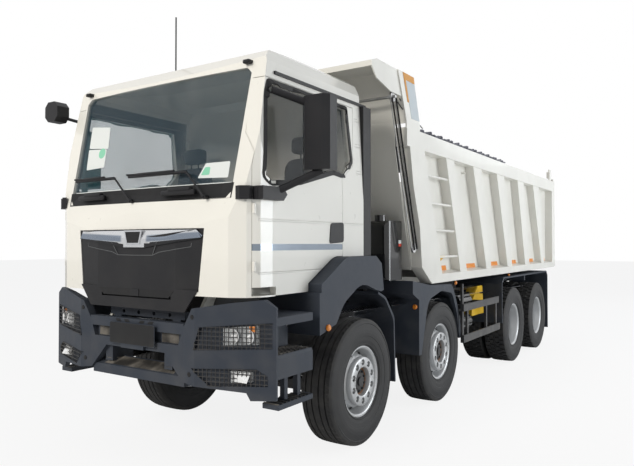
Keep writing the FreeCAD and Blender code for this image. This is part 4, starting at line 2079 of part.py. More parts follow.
def build_cylinder():
    reach = "sqrt((rod_head_y - barrel_base_y) ^ 2 + (rod_head_z - barrel_base_z) ^ 2)"
    eye_depth = "tip_pin_radius * 2"
    for index, stage in enumerate(("barrel",) + COUNT[:4]):
        outside = "barrel_radius - stage_step * %d" % index
        foot = "%s + stage_rise * %d" % (eye_depth, index)
        top = "barrel_length + stage_rise * %d / 2" % index
        tube = rod("tube_" + stage, "z", outside, ("0", "0", foot), "%s - (%s)" % (top, foot))
        if index == 4:
            head = rod("rod_head", "x", "tip_pin_radius * 3 / 2", ("-bracket_gap * 2 / 3", "0", reach),
                       "bracket_gap * 4 / 3")
            neck = rod("rod_neck", "z", "tip_pin_radius", ("0", "0", foot), "%s - (%s)" % (reach, foot))
            piece = fuse("cylinder_rod", tube, head, neck)
        else:
            bore = rod("tube_bore_" + stage, "z", outside + " - stage_wall",
                       ("0", "0", foot + " + stage_rise / 2"), "barrel_length + overrun")
            piece = cut("tube_cut_" + stage, tube, bore)
        if index:
            ring = rod("ring_" + stage, "z", outside + " + stage_step - stage_wall - seat_gap",
                       ("0", "0", foot), "stage_rise")
            hollow = rod("ring_bore_" + stage, "z", outside + " - stage_wall / 2", ("0", "0", foot), "stage_rise")
            piece = fuse("guided_" + stage, piece, cut("ring_cut_" + stage, ring, hollow))
        else:
            eye = rod("barrel_eye", "x", "tip_pin_radius * 2", ("-bracket_gap", "0", "0"), "bracket_gap * 2")
            hole = rod("barrel_eye_hole", "x", "tip_pin_radius + seat_gap", ("-bracket_gap * 2", "0", "0"),
                       "bracket_gap * 4")
            neck = rod("barrel_neck", "z", "tip_pin_radius * 3 / 2", ("0", "0", "tip_pin_radius"),
                       "tip_pin_radius + stage_rise / 4")
            piece = fuse("barrel_form", piece, cut("barrel_foot", fuse("barrel_foot_form", eye, neck), hole))
        posed = leaning("posed_" + stage, piece, ("barrel_base_y", "barrel_base_z"), ("rod_head_y", "rod_head_z"))
        node("cylinder_barrel" if index == 0 else "cylinder_stage_" + stage, posed)


def export():
    """Check every object, then write one file for each part."""
    doc.recompute()
    for item in doc.Objects:
        if "Invalid" in item.State or "Error" in item.State:
            raise RuntimeError("failed: " + item.Name)
    os.makedirs("parts", exist_ok=True)
    for item in NODES:
        if item.Shape.isNull() or not item.Shape.isValid() or not item.Shape.Solids:
            raise RuntimeError("bad shape: " + item.Label)
        item.Shape.exportStep("parts/%s.step" % item.Label)
        print(item.Label, len(item.Shape.Solids), item.Shape.BoundBox)


build_wheels()
build_knuckles()
build_axles()
build_springs()
build_frame()
build_engine()
build_cab()
build_mirrors()
build_grille()
build_cab_trim()
build_interior()
build_arches()
build_bumper()
build_lamps()
build_steps()
build_mudguards()
build_side_guards()
build_tanks()
build_bed()
build_tailgate()
build_fittings()
build_tarp()
build_cylinder()
export()
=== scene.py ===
"""Looks of a four-axle dump truck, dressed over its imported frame."""

import logging
import math
from dataclasses import dataclass, field
from enum import Enum
from typing import Callable, Mapping, Sequence

import bmesh
import bpy
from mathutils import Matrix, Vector
from mathutils.bvhtree import BVHTree


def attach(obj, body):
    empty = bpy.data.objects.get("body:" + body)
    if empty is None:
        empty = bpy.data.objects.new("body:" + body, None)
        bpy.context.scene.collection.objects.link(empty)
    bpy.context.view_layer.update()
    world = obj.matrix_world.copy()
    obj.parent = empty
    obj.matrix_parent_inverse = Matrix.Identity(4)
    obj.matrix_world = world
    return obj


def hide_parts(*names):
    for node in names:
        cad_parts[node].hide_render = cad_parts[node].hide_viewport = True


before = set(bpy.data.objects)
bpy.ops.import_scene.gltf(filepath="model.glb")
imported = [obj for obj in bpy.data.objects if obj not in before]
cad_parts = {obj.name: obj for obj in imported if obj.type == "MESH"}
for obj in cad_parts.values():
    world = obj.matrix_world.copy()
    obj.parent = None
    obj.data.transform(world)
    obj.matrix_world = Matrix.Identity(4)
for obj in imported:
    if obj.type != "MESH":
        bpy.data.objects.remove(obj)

log = logging.getLogger("dump_truck")
Point = tuple[float, float, float]
Flat = tuple[float, float]
Colour = tuple[float, float, float]

AXLE_ONE = -2.845
TYRE_RADIUS = 0.553
SIDES = {"left": 1.0, "right": -1.0}


def along(reach: float) -> float:
    """Gives the y of a spot that lies this far behind the first axle."""
    return AXLE_ONE + reach


class Facing(Enum):
    """Way that a skin is looked at when a flat outline is laid on it."""

    LEFT = (0, 1.0)
    RIGHT = (0, -1.0)
    NOSE = (1, -1.0)

    @classmethod
    def beside(cls, sign: float) -> "Facing":
        """Gives the facing of one side, from 1 on the left or -1 on the right."""
        return cls.LEFT if sign > 0 else cls.RIGHT


def upright(low: Flat, high: Flat) -> list[Flat]:
    """Gives the corners of a flat rectangle from its lowest and highest corner."""
    return [(low[0], low[1]), (high[0], low[1]), (high[0], high[1]), (low[0], high[1])]


def behind_axle(outline: Sequence[Flat]) -> list[Flat]:
    """Moves side outlines, given from the first axle, to their place on the truck."""
    return [(along(y), z) for y, z in outline]


def mirrored(outline: Sequence[Flat], sign: float) -> list[Flat]:
    """Moves front outlines of the left side to the side of the sign."""
    return [(sign * x, z) for x, z in outline]


def placed(name: str, data: bpy.types.ID) -> bpy.types.Object:
    """Makes an object from its data and links it."""
    item = bpy.data.objects.new(name, data)
    bpy.context.scene.collection.objects.link(item)
    return item


# Shader graphs
class Value:
    """One output of a shader graph, with arithmetic on it."""

    def __init__(self, graph: "Nodes", socket: bpy.types.NodeSocket) -> None:
        """Keeps the graph and the socket that the value comes from."""
        self.graph = graph
        self.socket = socket

    def _math(self, operation: str, first: object, second: object = 0.0, third: object = 0.0) -> "Value":
        """Adds one Math node on numbers or values."""
        return self.graph.node("ShaderNodeMath", {"operation": operation}, {0: first, 1: second, 2: third})

    def __add__(self, other: object) -> "Value":
        """Sum of two values."""
        return self._math("ADD", self, other)

    __radd__ = __add__

    def __sub__(self, other: object) -> "Value":
        """Difference of two values."""
        return self._math("SUBTRACT", self, other)

    def __rsub__(self, other: object) -> "Value":
        """Difference with the number first."""
        return self._math("SUBTRACT", other, self)

    def __mul__(self, other: object) -> "Value":
        """Product of two values."""
        return self._math("MULTIPLY", self, other)

    __rmul__ = __mul__

    def __truediv__(self, other: object) -> "Value":
        """Quotient of two values."""
        return self._math("DIVIDE", self, other)

    def __abs__(self) -> "Value":
        """Size without its sign."""
        return self._math("ABSOLUTE", self)

    def top(self, other: object) -> "Value":
        """Larger of two values."""
        return self._math("MAXIMUM", self, other)

    def low(self, other: object) -> "Value":
        """Smaller of two values."""
        return self._math("MINIMUM", self, other)

    def wave(self) -> "Value":
        """Sine of the value."""
        return self._math("SINE", self)

    def ramp(self, start: float, end: float) -> "Value":
        """Smooth rise from 0 at start to 1 at end."""
        return self.graph.node("ShaderNodeMapRange", {"interpolation_type": "SMOOTHSTEP"},
                               {"Value": self, "From Min": start, "From Max": end})

    def band(self, start: float, end: float, soft: float = 0.002) -> "Value":
        """Mask that is 1 from start to end and 0 outside."""
        return self.ramp(start - soft, start + soft) * (1.0 - self.ramp(end - soft, end + soft))


class Nodes:
    """Node tree with an output, and one way to add a node."""

    def __init__(self, tree: bpy.types.NodeTree, kind: str) -> None:
        """Clears the tree.

        Args:
            tree: Node tree of a material or a world.
            kind: Blender's name of its output node.
        """
        self.tree = tree
        self.tree.nodes.clear()
        self.output = self.tree.nodes.new(kind)

    def link(self, start: bpy.types.NodeSocket, end: bpy.types.NodeSocket) -> None:
        """Joins two sockets."""
        self.tree.links.new(start, end)

    def feed(self, socket: bpy.types.NodeSocket, value: object) -> None:
        """Sets or links one input.

        Args:
            socket: Input that takes the value.
            value: Value, number or tuple.
        """
        if isinstance(value, Value):
            self.link(value.socket, socket)
        elif socket.type == "RGBA" and len(value) == 3:
            socket.default_value = (*value, 1.0)
        else:
            socket.default_value = value

    def node(self, kind: str, settings: Mapping[str, object] | None = None,
             values: Mapping[object, object] | None = None, output: object = 0) -> Value:
        """Adds one node.

        Args:
            kind: Blender's name of the node type.
            settings: Its settings; stops gives a ramp its positions and colours.
            values: Numbers or values for its inputs.
            output: Output that is wanted, by number or name.

        Returns:
            The wanted output.
        """
        made = self.tree.nodes.new(kind)
        for key, setting in (settings or {}).items():
            if key == "stops":
                while len(made.color_ramp.elements) < len(setting):
                    made.color_ramp.elements.new(0.5)
                for element, (spot, colour) in zip(made.color_ramp.elements, setting):
                    element.position = spot
                    element.color = (*colour, 1.0)
            else:
                setattr(made, key, setting)
        for key, value in (values or {}).items():
            self.feed(made.inputs[key], value)
        return Value(self, made.outputs[output])

    def seen(self, share: float) -> Value:
        """Gives a factor that is the share for rays from the camera and 0 for others."""
        return self.node("ShaderNodeLightPath", output="Is Camera Ray") * share

    def blend(self, factor: Value, first: Value, second: Value) -> None:
        """Mixes two shaders into the output."""
        mixed = self.node("ShaderNodeMixShader", None, {0: factor, 1: first, 2: second})
        self.link(mixed.socket, self.output.inputs[0])


class Graph(Nodes):
    """Node tree of one material, with its principled shader."""

    def __init__(self, name: str) -> None:
        """Makes the material.

        Args:
            name: Plain name of the finish.
        """
        self.material = bpy.data.materials.new(name)
        self.material.use_nodes = True
        super().__init__(self.material.node_tree, "ShaderNodeOutputMaterial")
        self.shader = self.tree.nodes.new("ShaderNodeBsdfPrincipled")
        self.link(self.shader.outputs[0], self.output.inputs[0])

    def place(self) -> tuple[Value, Value, Value]:
        """Gives the coordinates on the piece, in metres."""
        spot = self.node("ShaderNodeTexCoord", output="Object")
        return tuple(self.node("ShaderNodeSeparateXYZ", values={0: spot}, output=i) for i in range(3))

    def noise(self, scale: float, detail: float = 2.0, stretch: Point = (1, 1, 1),
              rough: float = 0.5) -> Value:
        """Noise on the piece.

        Args:
            scale: Size of the pattern, larger is finer.
            detail: How many finer layers it has.
            stretch: Share of the scale along each axis.
            rough: Weight of the finer layers.

        Returns:
            The noise, from 0 to 1.
        """
        spot = self.node("ShaderNodeTexCoord", output="Object")
        spot = self.node("ShaderNodeVectorMath", {"operation": "MULTIPLY"}, {0: spot, 1: stretch})
        return self.node("ShaderNodeTexNoise", None,
                         {"Vector": spot, "Scale": scale, "Detail": detail, "Roughness": rough})

    def mix(self, factor: object, first: object, second: object) -> Value:
        """Mixes two colours by a factor."""
        return self.node("ShaderNodeMix", {"data_type": "RGBA"}, {0: factor, 6: first, 7: second}, 2)

    def bump(self, height: Value, distance: float, strength: float = 1.0) -> Value:
        """Turns a height into a normal."""
        return self.node("ShaderNodeBump", None,
                         {"Height": height, "Distance": distance, "Strength": strength})

    def finish(self, **values: object) -> bpy.types.Material:
        """Feeds the principled shader.

        Args:
            **values: Inputs by name, with an underscore for a space.

        Returns:
            The material.
        """
        for key, value in values.items():
            self.feed(self.shader.inputs[key.replace("_", " ").title().replace("Ior", "IOR")], value)
        return self.material


DUST: Colour = (0.36, 0.33, 0.29)


@dataclass(frozen=True)
class Paint:
    """Painted sheet metal with fine dust low down and faint unevenness."""

    name: str
    colour: Colour
    roughness: float = 0.35
    coat: float = 0.5
    dust: float = 0.12
    dust_top: float = 1.6
    variation: float = 0.05
    metallic: float = 0.0

    def base(self, graph: Graph) -> tuple[Value, Value]:
        """Works out the worn colour.

        Args:
            graph: Graph of the material.

        Returns:
            The colour and the roughness.
        """
        height = graph.place()[2]
        cloud = graph.noise(1.7, 3.0)
        shade = tuple(c * (1.0 - self.variation) for c in self.colour)
        colour = graph.mix(cloud.ramp(0.35, 0.7), self.colour, shade)
        streak = graph.noise(9.0, 4.0, (1.0, 1.0, 0.12)).ramp(0.45, 0.8)
        low = 1.0 - height.ramp(0.3, self.dust_top)
        dusty = (low * 0.75 + streak * 0.25) * graph.noise(6.0, 5.0).ramp(0.3, 0.75) * self.dust
        colour = graph.mix(dusty, colour, DUST)
        return colour, graph.noise(14.0, 3.0) * 0.12 + (self.roughness - 0.06) + dusty * 0.6

    def build(self) -> bpy.types.Material:
        """Builds the material."""
        graph = Graph(self.name)
        colour, roughness = self.base(graph)
        normal = graph.bump(graph.noise(180.0, 2.0), 0.0004, 0.25)
        return graph.finish(base_color=colour, roughness=roughness, coat_weight=self.coat,
                            metallic=self.metallic, normal=normal)


@dataclass(frozen=True)
class CabPaint(Paint):
    """Cab paint with the pressed lines of its panels, the reflective stripe on the doors, and a dark slate
    lining inside the shell that also paints the shade in the closed cab.
    """

    stripe: Colour = (0.25, 0.3, 0.36)
    lining_painted_shade: Colour = (0.035, 0.05, 0.062)

    def build(self) -> bpy.types.Material:
        """Builds the material."""
        graph = Graph(self.name)
        colour, roughness = self.base(graph)
        x, y, z = graph.place()
        side = abs(x).ramp(1.0, 1.02)
        door = y.band(along(-1.397), along(-0.258))
        stripe = side * door * z.band(1.714, 1.762, 0.001)
        colour = graph.mix(stripe, colour, self.stripe)
        # Painted shade: the inside of the shell, behind the screen, is painted dark slate, its lining colour
        # darkened to stand in for the shade in the closed cab.
        behind = (y - (z - 2.085) * 0.208 - along(-1.492)).ramp(0.05, 0.075)
        ahead = 1.0 - y.ramp(along(0.0), along(0.03))
        inside_painted_shade = behind * (1.0 - abs(x).ramp(1.035, 1.05)) * z.band(2.06, 3.06, 0.01) * ahead
        colour = graph.mix(inside_painted_shade, colour, self.lining_painted_shade)
        creases = z.band(1.925, 1.94, 0.006) + z.band(1.548, 1.56, 0.005)
        line = side * creases * y.band(along(-1.36), along(0.1))
        pits = [side * y.band(along(0.0), along(0.09), 0.006) * z.band(level - 0.012, level + 0.012, 0.004)
                for level in (2.40, 2.64, 2.87)]
        height = pits[0] + pits[1] + pits[2] + line
        normal = graph.bump(1.0 - height, 0.006)
        return graph.finish(base_color=colour, roughness=roughness - stripe * 0.1,
                            coat_weight=(1.0 - inside_painted_shade) * self.coat, metallic=stripe * 0.5, normal=normal)


@dataclass(frozen=True)
class Plastic:
    """Moulded plastic with a fine grain and pale dust, more of it low down."""

    name: str
    colour: Colour
    roughness: float = 0.55
    grain: float = 0.35
    dust: float = 0.1

    def build(self) -> bpy.types.Material:
        """Builds the material."""
        graph = Graph(self.name)
        height = graph.place()[2]
        cloud = graph.noise(5.0, 4.0)
        low = 1.0 - height.ramp(0.4, 1.7)
        dusty = (low * 0.7 + 0.3) * cloud.ramp(0.35, 0.8) * self.dust
        colour = graph.mix(dusty, self.colour, DUST)
        roughness = graph.noise(20.0, 3.0) * 0.16 + (self.roughness - 0.08) + dusty
        grain = graph.node("ShaderNodeTexVoronoi", None, {
            "Vector": graph.node("ShaderNodeTexCoord", output="Object"), "Scale": 420.0})
        graph.shader.inputs["Specular IOR Level"].default_value = 0.32
        return graph.finish(base_color=colour, roughness=roughness,
                            normal=graph.bump(grain, 0.0005, self.grain))


@dataclass(frozen=True)
class Rubber:
    """Tyre rubber, browned and dusty on the tread."""

    name: str
    colour: Colour

    def build(self) -> bpy.types.Material:
        """Builds the material."""
        graph = Graph(self.name)
        y, z = graph.place()[1:]
        reach = (y * y + z * z) / (TYRE_RADIUS * TYRE_RADIUS)
        tread = reach.ramp(0.84, 0.93)
        cloud = graph.noise(9.0, 5.0)
        dusty = (tread * 0.5 + 0.16) * cloud.ramp(0.3, 0.8) * 0.4
        colour = graph.mix(dusty, self.colour, (0.16, 0.15, 0.135))
        rings = (reach * 260.0).wave() * (1.0 - tread) * 0.4
        return graph.finish(base_color=colour, roughness=dusty * 0.5 + 0.68,
                            normal=graph.bump(rings + graph.noise(120.0, 3.0), 0.0012, 0.5))


@dataclass(frozen=True)
class Metal:
    """Bare, cast or plated metal; the chrome bar's copy carries a painted reflection band."""

    name: str
    colour: Colour
    roughness: float
    metallic: float = 1.0
    pits: float = 0.0
    grime: float = 0.15
    painted_reflection_band: bool = False

    def build(self) -> bpy.types.Material:
        """Builds the material."""
        graph = Graph(self.name)
        cloud = graph.noise(11.0, 5.0).ramp(0.42, 0.78) * self.grime
        colour = graph.mix(cloud, self.colour, (0.12, 0.11, 0.1))
        if self.painted_reflection_band:
            # Painted reflection: a dark blue band of reflected sky across the chrome bar, left out near its
            # middle.
            x, z = graph.place()[::2]
            sky = (z - abs(x) * 0.04).band(1.772, 1.822, 0.008) * abs(x).ramp(0.13, 0.16)
            colour = graph.mix(sky * 0.75, colour, (0.12, 0.17, 0.25))
        roughness = graph.noise(26.0, 3.0) * 0.14 + (self.roughness - 0.05) + cloud * 0.4
        normal = graph.bump(graph.noise(90.0, 4.0), 0.001, max(self.pits, 0.03))
        return graph.finish(base_color=colour, roughness=roughness, metallic=self.metallic, normal=normal)


@dataclass(frozen=True)
class Glazing:
    """Tinted glass that is seen through; its inner faces can take a bright tint that paints the light seen
    through the far window.
    """

    name: str
    tint: Colour
    clear: float
    roughness: float = 0.03
    # Bright tint of the inward faces: painted light seen through the glass.
    inner: Colour | None = None

    def build(self) -> bpy.types.Material:
        """Builds the material."""
        graph = Graph(self.name)
        smear = graph.noise(4.0, 4.0, (1.0, 1.0, 0.4)).ramp(0.4, 0.9)
        alpha = smear * 0.05 + (1.0 - self.clear)
        tint = self.tint
        if self.inner:
            # Painted light: faces turned into the cab take the bright inner tint, which stands in for the sky
            # seen lit through the far window.
            normal = graph.node("ShaderNodeNewGeometry", output="Normal")
            side = graph.node("ShaderNodeSeparateXYZ", values={0: normal})
            painted_light_faces = (side * graph.place()[0] * -40.0).low(1.0).top(0.0)
            tint = graph.mix(painted_light_faces, self.tint, self.inner)
        graph.finish(base_color=graph.mix(smear * 0.3, tint, (0.3, 0.32, 0.32)),
                     roughness=smear * 0.05 + self.roughness, alpha=alpha, ior=1.5)
        graph.shader.inputs["Specular IOR Level"].default_value = 0.9
        return graph.material


@dataclass(frozen=True)
class Lens:
    """Lamp cover with moulded flutes, and stripes of painted light and shade along them."""

    name: str
    colour: Colour
    clear: float = 0.0
    flute: float = 0.012

    def build(self) -> bpy.types.Material:
        """Builds the material."""
        graph = Graph(self.name)
        x, y = graph.place()[:2]
        flutes = ((x + y) * (2 * math.pi / self.flute)).wave() * 0.5 + 0.5
        # Painted shade: a darker copy of the lens colour follows the flutes, in stripes of painted light and
        # shade.
        shade = tuple(c * 0.62 for c in self.colour)
        colour = graph.mix(flutes * 0.6, self.colour, shade)
        return graph.finish(base_color=colour, roughness=0.14, coat_weight=0.6,
                            alpha=1.0 - self.clear + flutes * 0.04,
                            normal=graph.bump(flutes, 0.0015, 0.6))


@dataclass(frozen=True)
class Cloth:
    """Woven or coated cloth."""

    name: str
    colour: Colour
    fold: Colour
    weave: float = 520.0
    roughness: float = 0.8

    def build(self) -> bpy.types.Material:
        """Builds the material."""
        graph = Graph(self.name)
        x, y, z = graph.place()
        warp, weft = (x * self.weave + z * self.weave).wave(), (y * self.weave - z * self.weave).wave()
        weave = warp * weft * 0.5 + 0.5
        cloud = graph.noise(7.0, 5.0).ramp(0.3, 0.75)
        colour = graph.mix(cloud, self.colour, self.fold)
        return graph.finish(base_color=graph.mix(weave * 0.25, colour, self.fold),
                            roughness=weave * 0.1 + self.roughness,
                            normal=graph.bump(weave, 0.0008, 0.4))


class Shade(Enum):
    """Every finish of the truck."""

    CAB = CabPaint("cab_cream_white", (0.80, 0.785, 0.73), 0.3, 0.7, 0.05, 1.9, 0.03)
    BED = Paint("body_cream_white", (0.79, 0.775, 0.72), 0.4, 0.4, 0.22, 2.2, 0.05)
    BED_FLOOR = Paint("load_floor_grey", (0.42, 0.41, 0.39), 0.5, 0.0, 0.5, 3.0, 0.15)
    SLATE = Plastic("slate_grey_plastic", (0.033, 0.04, 0.054), 0.58, 0.35, 0.1)
    BLACK = Plastic("satin_black_plastic", (0.012, 0.012, 0.014), 0.45, 0.3, 0.05)
    CHASSIS = Paint("chassis_black", (0.022, 0.022, 0.024), 0.5, 0.15, 0.3, 1.5, 0.1)
    CASTING = Metal("cast_iron_painted", (0.045, 0.045, 0.047), 0.6, 0.25, 0.5, 0.5)
    RIM = Paint("wheel_silver", (0.56, 0.57, 0.58), 0.36, 0.3, 0.22, 1.6, 0.1, 0.55)
    NUT = Metal("zinc_nuts", (0.5, 0.5, 0.5), 0.35, 0.9)
    TYRE = Rubber("tyre_rubber", (0.017, 0.017, 0.018))
    SCREEN = Glazing("blue_green_screen", (0.03, 0.075, 0.11), 0.8)
    # Dark outside; its inner faces are painted bright turquoise, painted light seen through the far window.
    SIDE_GLASS = Glazing("dark_side_glass", (0.03, 0.04, 0.046), 0.74, 0.03, (0.16, 0.7, 0.72))
    CLEAR = Lens("clear_lamp_cover", (0.75, 0.78, 0.8), 0.55, 0.02)
    AMBER = Lens("amber_lens", (0.85, 0.26, 0.02))
    RED = Lens("red_lens", (0.5, 0.015, 0.01))
    YELLOW = Plastic("yellow_plastic", (0.75, 0.46, 0.02), 0.4, 0.1, 0.2)
    ORANGE = Plastic("orange_reflective", (0.78, 0.26, 0.03), 0.3, 0.1, 0.08)
    SEAT = Cloth("seat_cloth", (0.05, 0.05, 0.055), (0.025, 0.025, 0.028))
    TARP = Cloth("lavender_grey_tarpaulin", (0.36, 0.36, 0.41), (0.2, 0.2, 0.235), 300.0, 0.5)
    RUST = Metal("rusty_cast_edge", (0.2, 0.09, 0.035), 0.75, 0.2, 0.4, 0.3)
    STEEL = Metal("plain_steel", (0.5, 0.5, 0.5), 0.38, 1.0, 0.1, 0.3)
    CHROME = Metal("bright_chrome", (0.66, 0.67, 0.69), 0.2, 1.0, 0.0, 0.03)
    # Chrome of the bar, with a painted reflection band of the sky.
    CHROME_BAR = Metal("chrome_with_painted_reflection", (0.72, 0.73, 0.75), 0.24, 0.9, 0.0, 0.03, True)
    ALLOY = Metal("tank_alloy", (0.58, 0.59, 0.6), 0.32, 1.0, 0.05, 0.2)
    REFLECTOR = Metal("lamp_reflector", (0.8, 0.8, 0.82), 0.12, 1.0, 0.0, 0.02)
    DUSTY = Plastic("dusty_dark_tread", (0.03, 0.028, 0.026), 0.8, 0.6, 0.9)
    # Pale grey lines laid along the grille's pressed lines.
    LINE = Plastic("pale_grey_line_plastic", (0.1, 0.105, 0.11), 0.5, 0.2, 0.1)
    GLASS_WHITE = Metal("bright_lamp_bowl", (0.9, 0.91, 0.92), 0.25, 0.4, 0.0, 0.05)
    LABEL = Plastic("blank_pale_label", (0.72, 0.75, 0.74), 0.4, 0.05, 0.02)
    GREEN = Plastic("blank_green_label", (0.25, 0.6, 0.42), 0.4, 0.05, 0.02)
    SIGNAL = Plastic("blank_red_label", (0.6, 0.06, 0.03), 0.4, 0.05, 0.02)
    GLOSS = Paint("tank_gloss_black", (0.012, 0.012, 0.013), 0.2, 0.5, 0.12, 1.5, 0.1)
    AMBER_TAPE = Plastic("golden_orange_tape", (0.62, 0.27, 0.03), 0.4, 0.1, 0.08)
    SILVER = Plastic("pale_reflective_panel", (0.5, 0.55, 0.58), 0.35, 0.1, 0.05)
    PLATE = Plastic("blank_black_plate", (0.01, 0.01, 0.011), 0.35, 0.1, 0.05)
    SEAL = Plastic("rubber_seal", (0.014, 0.014, 0.015), 0.6, 0.2, 0.04)

    def material(self) -> bpy.types.Material:
        """Gives the material, built when first asked for."""
        return bpy.data.materials.get(self.value.name) or self.value.build()


# Meshes
def piece(name: str, points: Sequence[Point], faces: Sequence[Sequence[int]], body: str, shade: Shade,
          smooth: bool = False) -> bpy.types.Object:
    """Makes one mesh piece that rides a body.

    Args:
        name: Plain name of the piece.
        points: Corners in metres.
        faces: Corner numbers of each face.
        body: Body that it rides.
        shade: Finish.
        smooth: Whether its faces are shaded smooth.

    Returns:
        The new object.
    """
    mesh = bpy.data.meshes.new(name)
    mesh.from_pydata([tuple(p) for p in points], [], [tuple(f) for f in faces])
    mesh.validate()
    mesh.update()
    return settle(placed(name, mesh), body, shade, smooth)


def settle(item: bpy.types.Object, body: str, shade: Shade,
           smooth: bool = False) -> bpy.types.Object:
    """Gives a piece its finish and lets it ride.

    Args:
        item: Object of the piece.
        body: Body that it rides.
        shade: Finish.
        smooth: Whether its faces are shaded smooth.

    Returns:
        The same object.
    """
    item.data.materials.append(shade.material())
    if smooth and item.type == "MESH":
        item.data.polygons.foreach_set("use_smooth", [True] * len(item.data.polygons))
    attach(item, body)
    return item


@dataclass
class Batch:
    """Many small solids gathered into one mesh."""

    points: list[Point] = field(default_factory=list)
    faces: list[list[int]] = field(default_factory=list)

    def add(self, points: Sequence[Point], faces: Sequence[Sequence[int]]) -> None:
        """Takes in one solid."""
        start = len(self.points)
        self.points.extend(points)
        self.faces.extend([start + i for i in f] for f in faces)

    def block(self, low: Point, high: Point, bevel: float = 0.0) -> None:
        """Takes in a block, with bevelled edges where asked.

        Args:
            low: Lowest corner.
            high: Highest corner.
            bevel: Width of the bevel.
        """
        bm = bmesh.new()
        bmesh.ops.create_cube(bm, size=1.0)
        for vert in bm.verts:
            vert.co = [low[i] + (vert.co[i] + 0.5) * (high[i] - low[i]) for i in range(3)]
        if bevel:
            bmesh.ops.bevel(bm, geom=bm.edges[:], offset=bevel, segments=2, affect="EDGES", profile=0.6)
        self.take(bm)

    def take(self, bm: bmesh.types.BMesh) -> None:
        """Takes in a bmesh and frees it."""
        bm.verts.index_update()
        self.add([tuple(v.co) for v in bm.verts], [[v.index for v in f.verts] for f in bm.faces])
        bm.free()

    def turned(self, centre: Point, axis: Point, profile: Sequence[Flat], steps: int = 24,
               hollow: bool = False) -> None:
        """Takes in a turned solid.

        Args:
            centre: Point that the profile is measured from.
            axis: Way that the axis points.
            profile: Reach along the axis and radius, in order.
            steps: Sides round the axis.
            hollow: Whether the profile closes on itself as a ring, instead of with two end faces.
        """
        way = Vector(axis).normalized()
        side = way.orthogonal().normalized()
        cross = way.cross(side)
        origin = Vector(centre)
        points, faces = [], []
        for reach, radius in profile:
            for k in range(steps):
                turn = 2 * math.pi * k / steps
                out = side * math.cos(turn) + cross * math.sin(turn)
                points.append(tuple(origin + way * reach + out * radius))
        rows = len(profile)
        for row in range(rows if hollow else rows - 1):
            ahead = (row + 1) % rows
            for k in range(steps):
                nxt = (k + 1) % steps
                faces.append([row * steps + k, row * steps + nxt, ahead * steps + nxt, ahead * steps + k])
        if not hollow:
            faces.append(list(range(steps))[::-1])
            faces.append([(rows - 1) * steps + k for k in range(steps)])
        self.add(points, faces)

    def dome(self, centre: Point, axis: Point, radius: float, height: float, steps: int = 16) -> None:
        """Takes in a low dome, such as a bolt head or a lamp bowl."""
        rings = [(height * math.sin(a), radius * math.cos(a)) for a in (0.0, 0.5, 1.0, 1.4)]
        self.turned(centre, axis, [(-0.002, radius)] + rings, steps)

    def tube(self, path: Sequence[Point], radius: float, steps: int = 10) -> None:
        """Takes in a round bar along a path.

        Args:
            path: Points along its middle.
            radius: Radius of the bar.
            steps: Sides round it.
        """
        spots = [Vector(p) for p in path]
        side = (spots[1] - spots[0]).orthogonal().normalized()
        points, faces = [], []
        for index, spot in enumerate(spots):
            ahead = spots[min(index + 1, len(spots) - 1)] - spots[max(index - 1, 0)]
            side = (side - ahead.normalized() * side.dot(ahead.normalized())).normalized()
            cross = ahead.normalized().cross(side)
            for k in range(steps):
                turn = 2 * math.pi * k / steps
                points.append(tuple(spot + (side * math.cos(turn) + cross * math.sin(turn)) * radius))
        for row in range(len(spots) - 1):
            for k in range(steps):
                nxt = (k + 1) % steps
                low, high = row * steps, (row + 1) * steps
                faces.append([low + k, low + nxt, high + nxt, high + k])
        faces.append(list(range(steps))[::-1])
        faces.append([(len(spots) - 1) * steps + k for k in range(steps)])
        self.add(points, faces)

    def make(self, name: str, body: str, shade: Shade, slot: str, smooth: bool = False) -> bpy.types.Object:
        """Makes the piece."""
        return piece(name, self.points, self.faces, body, shade, smooth)


def curve_through(points: Sequence[Point], steps: int = 8) -> list[Point]:
    """Smooths a path through its points.

    Args:
        points: Points that the path passes.
        steps: Points on each stretch.

    Returns:
        The finer path.
    """
    spots = [Vector(p) for p in points]
    fine = []
    for i in range(len(spots) - 1):
        a, b = spots[max(i - 1, 0)], spots[i]
        c, d = spots[i + 1], spots[min(i + 2, len(spots) - 1)]
        for k in range(steps):
            t = k / steps
            fine.append(tuple(0.5 * (2 * b + (c - a) * t + (2 * a - 5 * b + 4 * c - d) * t * t
                                     + (3 * b - a - 3 * c + d) * t ** 3)))
    fine.append(tuple(spots[-1]))
    return fine


def rounded(outline: Sequence[Flat], radius: float, steps: int = 4) -> list[Flat]:
    """Rounds the corners of a flat outline.

    Args:
        outline: Corners in order.
        radius: Reach of the rounding along each side.
        steps: Points round a corner.

    Returns:
        The finer outline.
    """
    fine = []
    for i, corner in enumerate(outline):
        here = Vector(corner)
        back, ahead = Vector(outline[i - 1]) - here, Vector(outline[(i + 1) % len(outline)]) - here
        first = here + back.normalized() * min(radius, back.length * 0.45)
        last = here + ahead.normalized() * min(radius, ahead.length * 0.45)
        for k in range(steps + 1):
            t = k / steps
            fine.append(tuple(first * (1 - t) ** 2 + here * 2 * t * (1 - t) + last * t * t))
    return fine


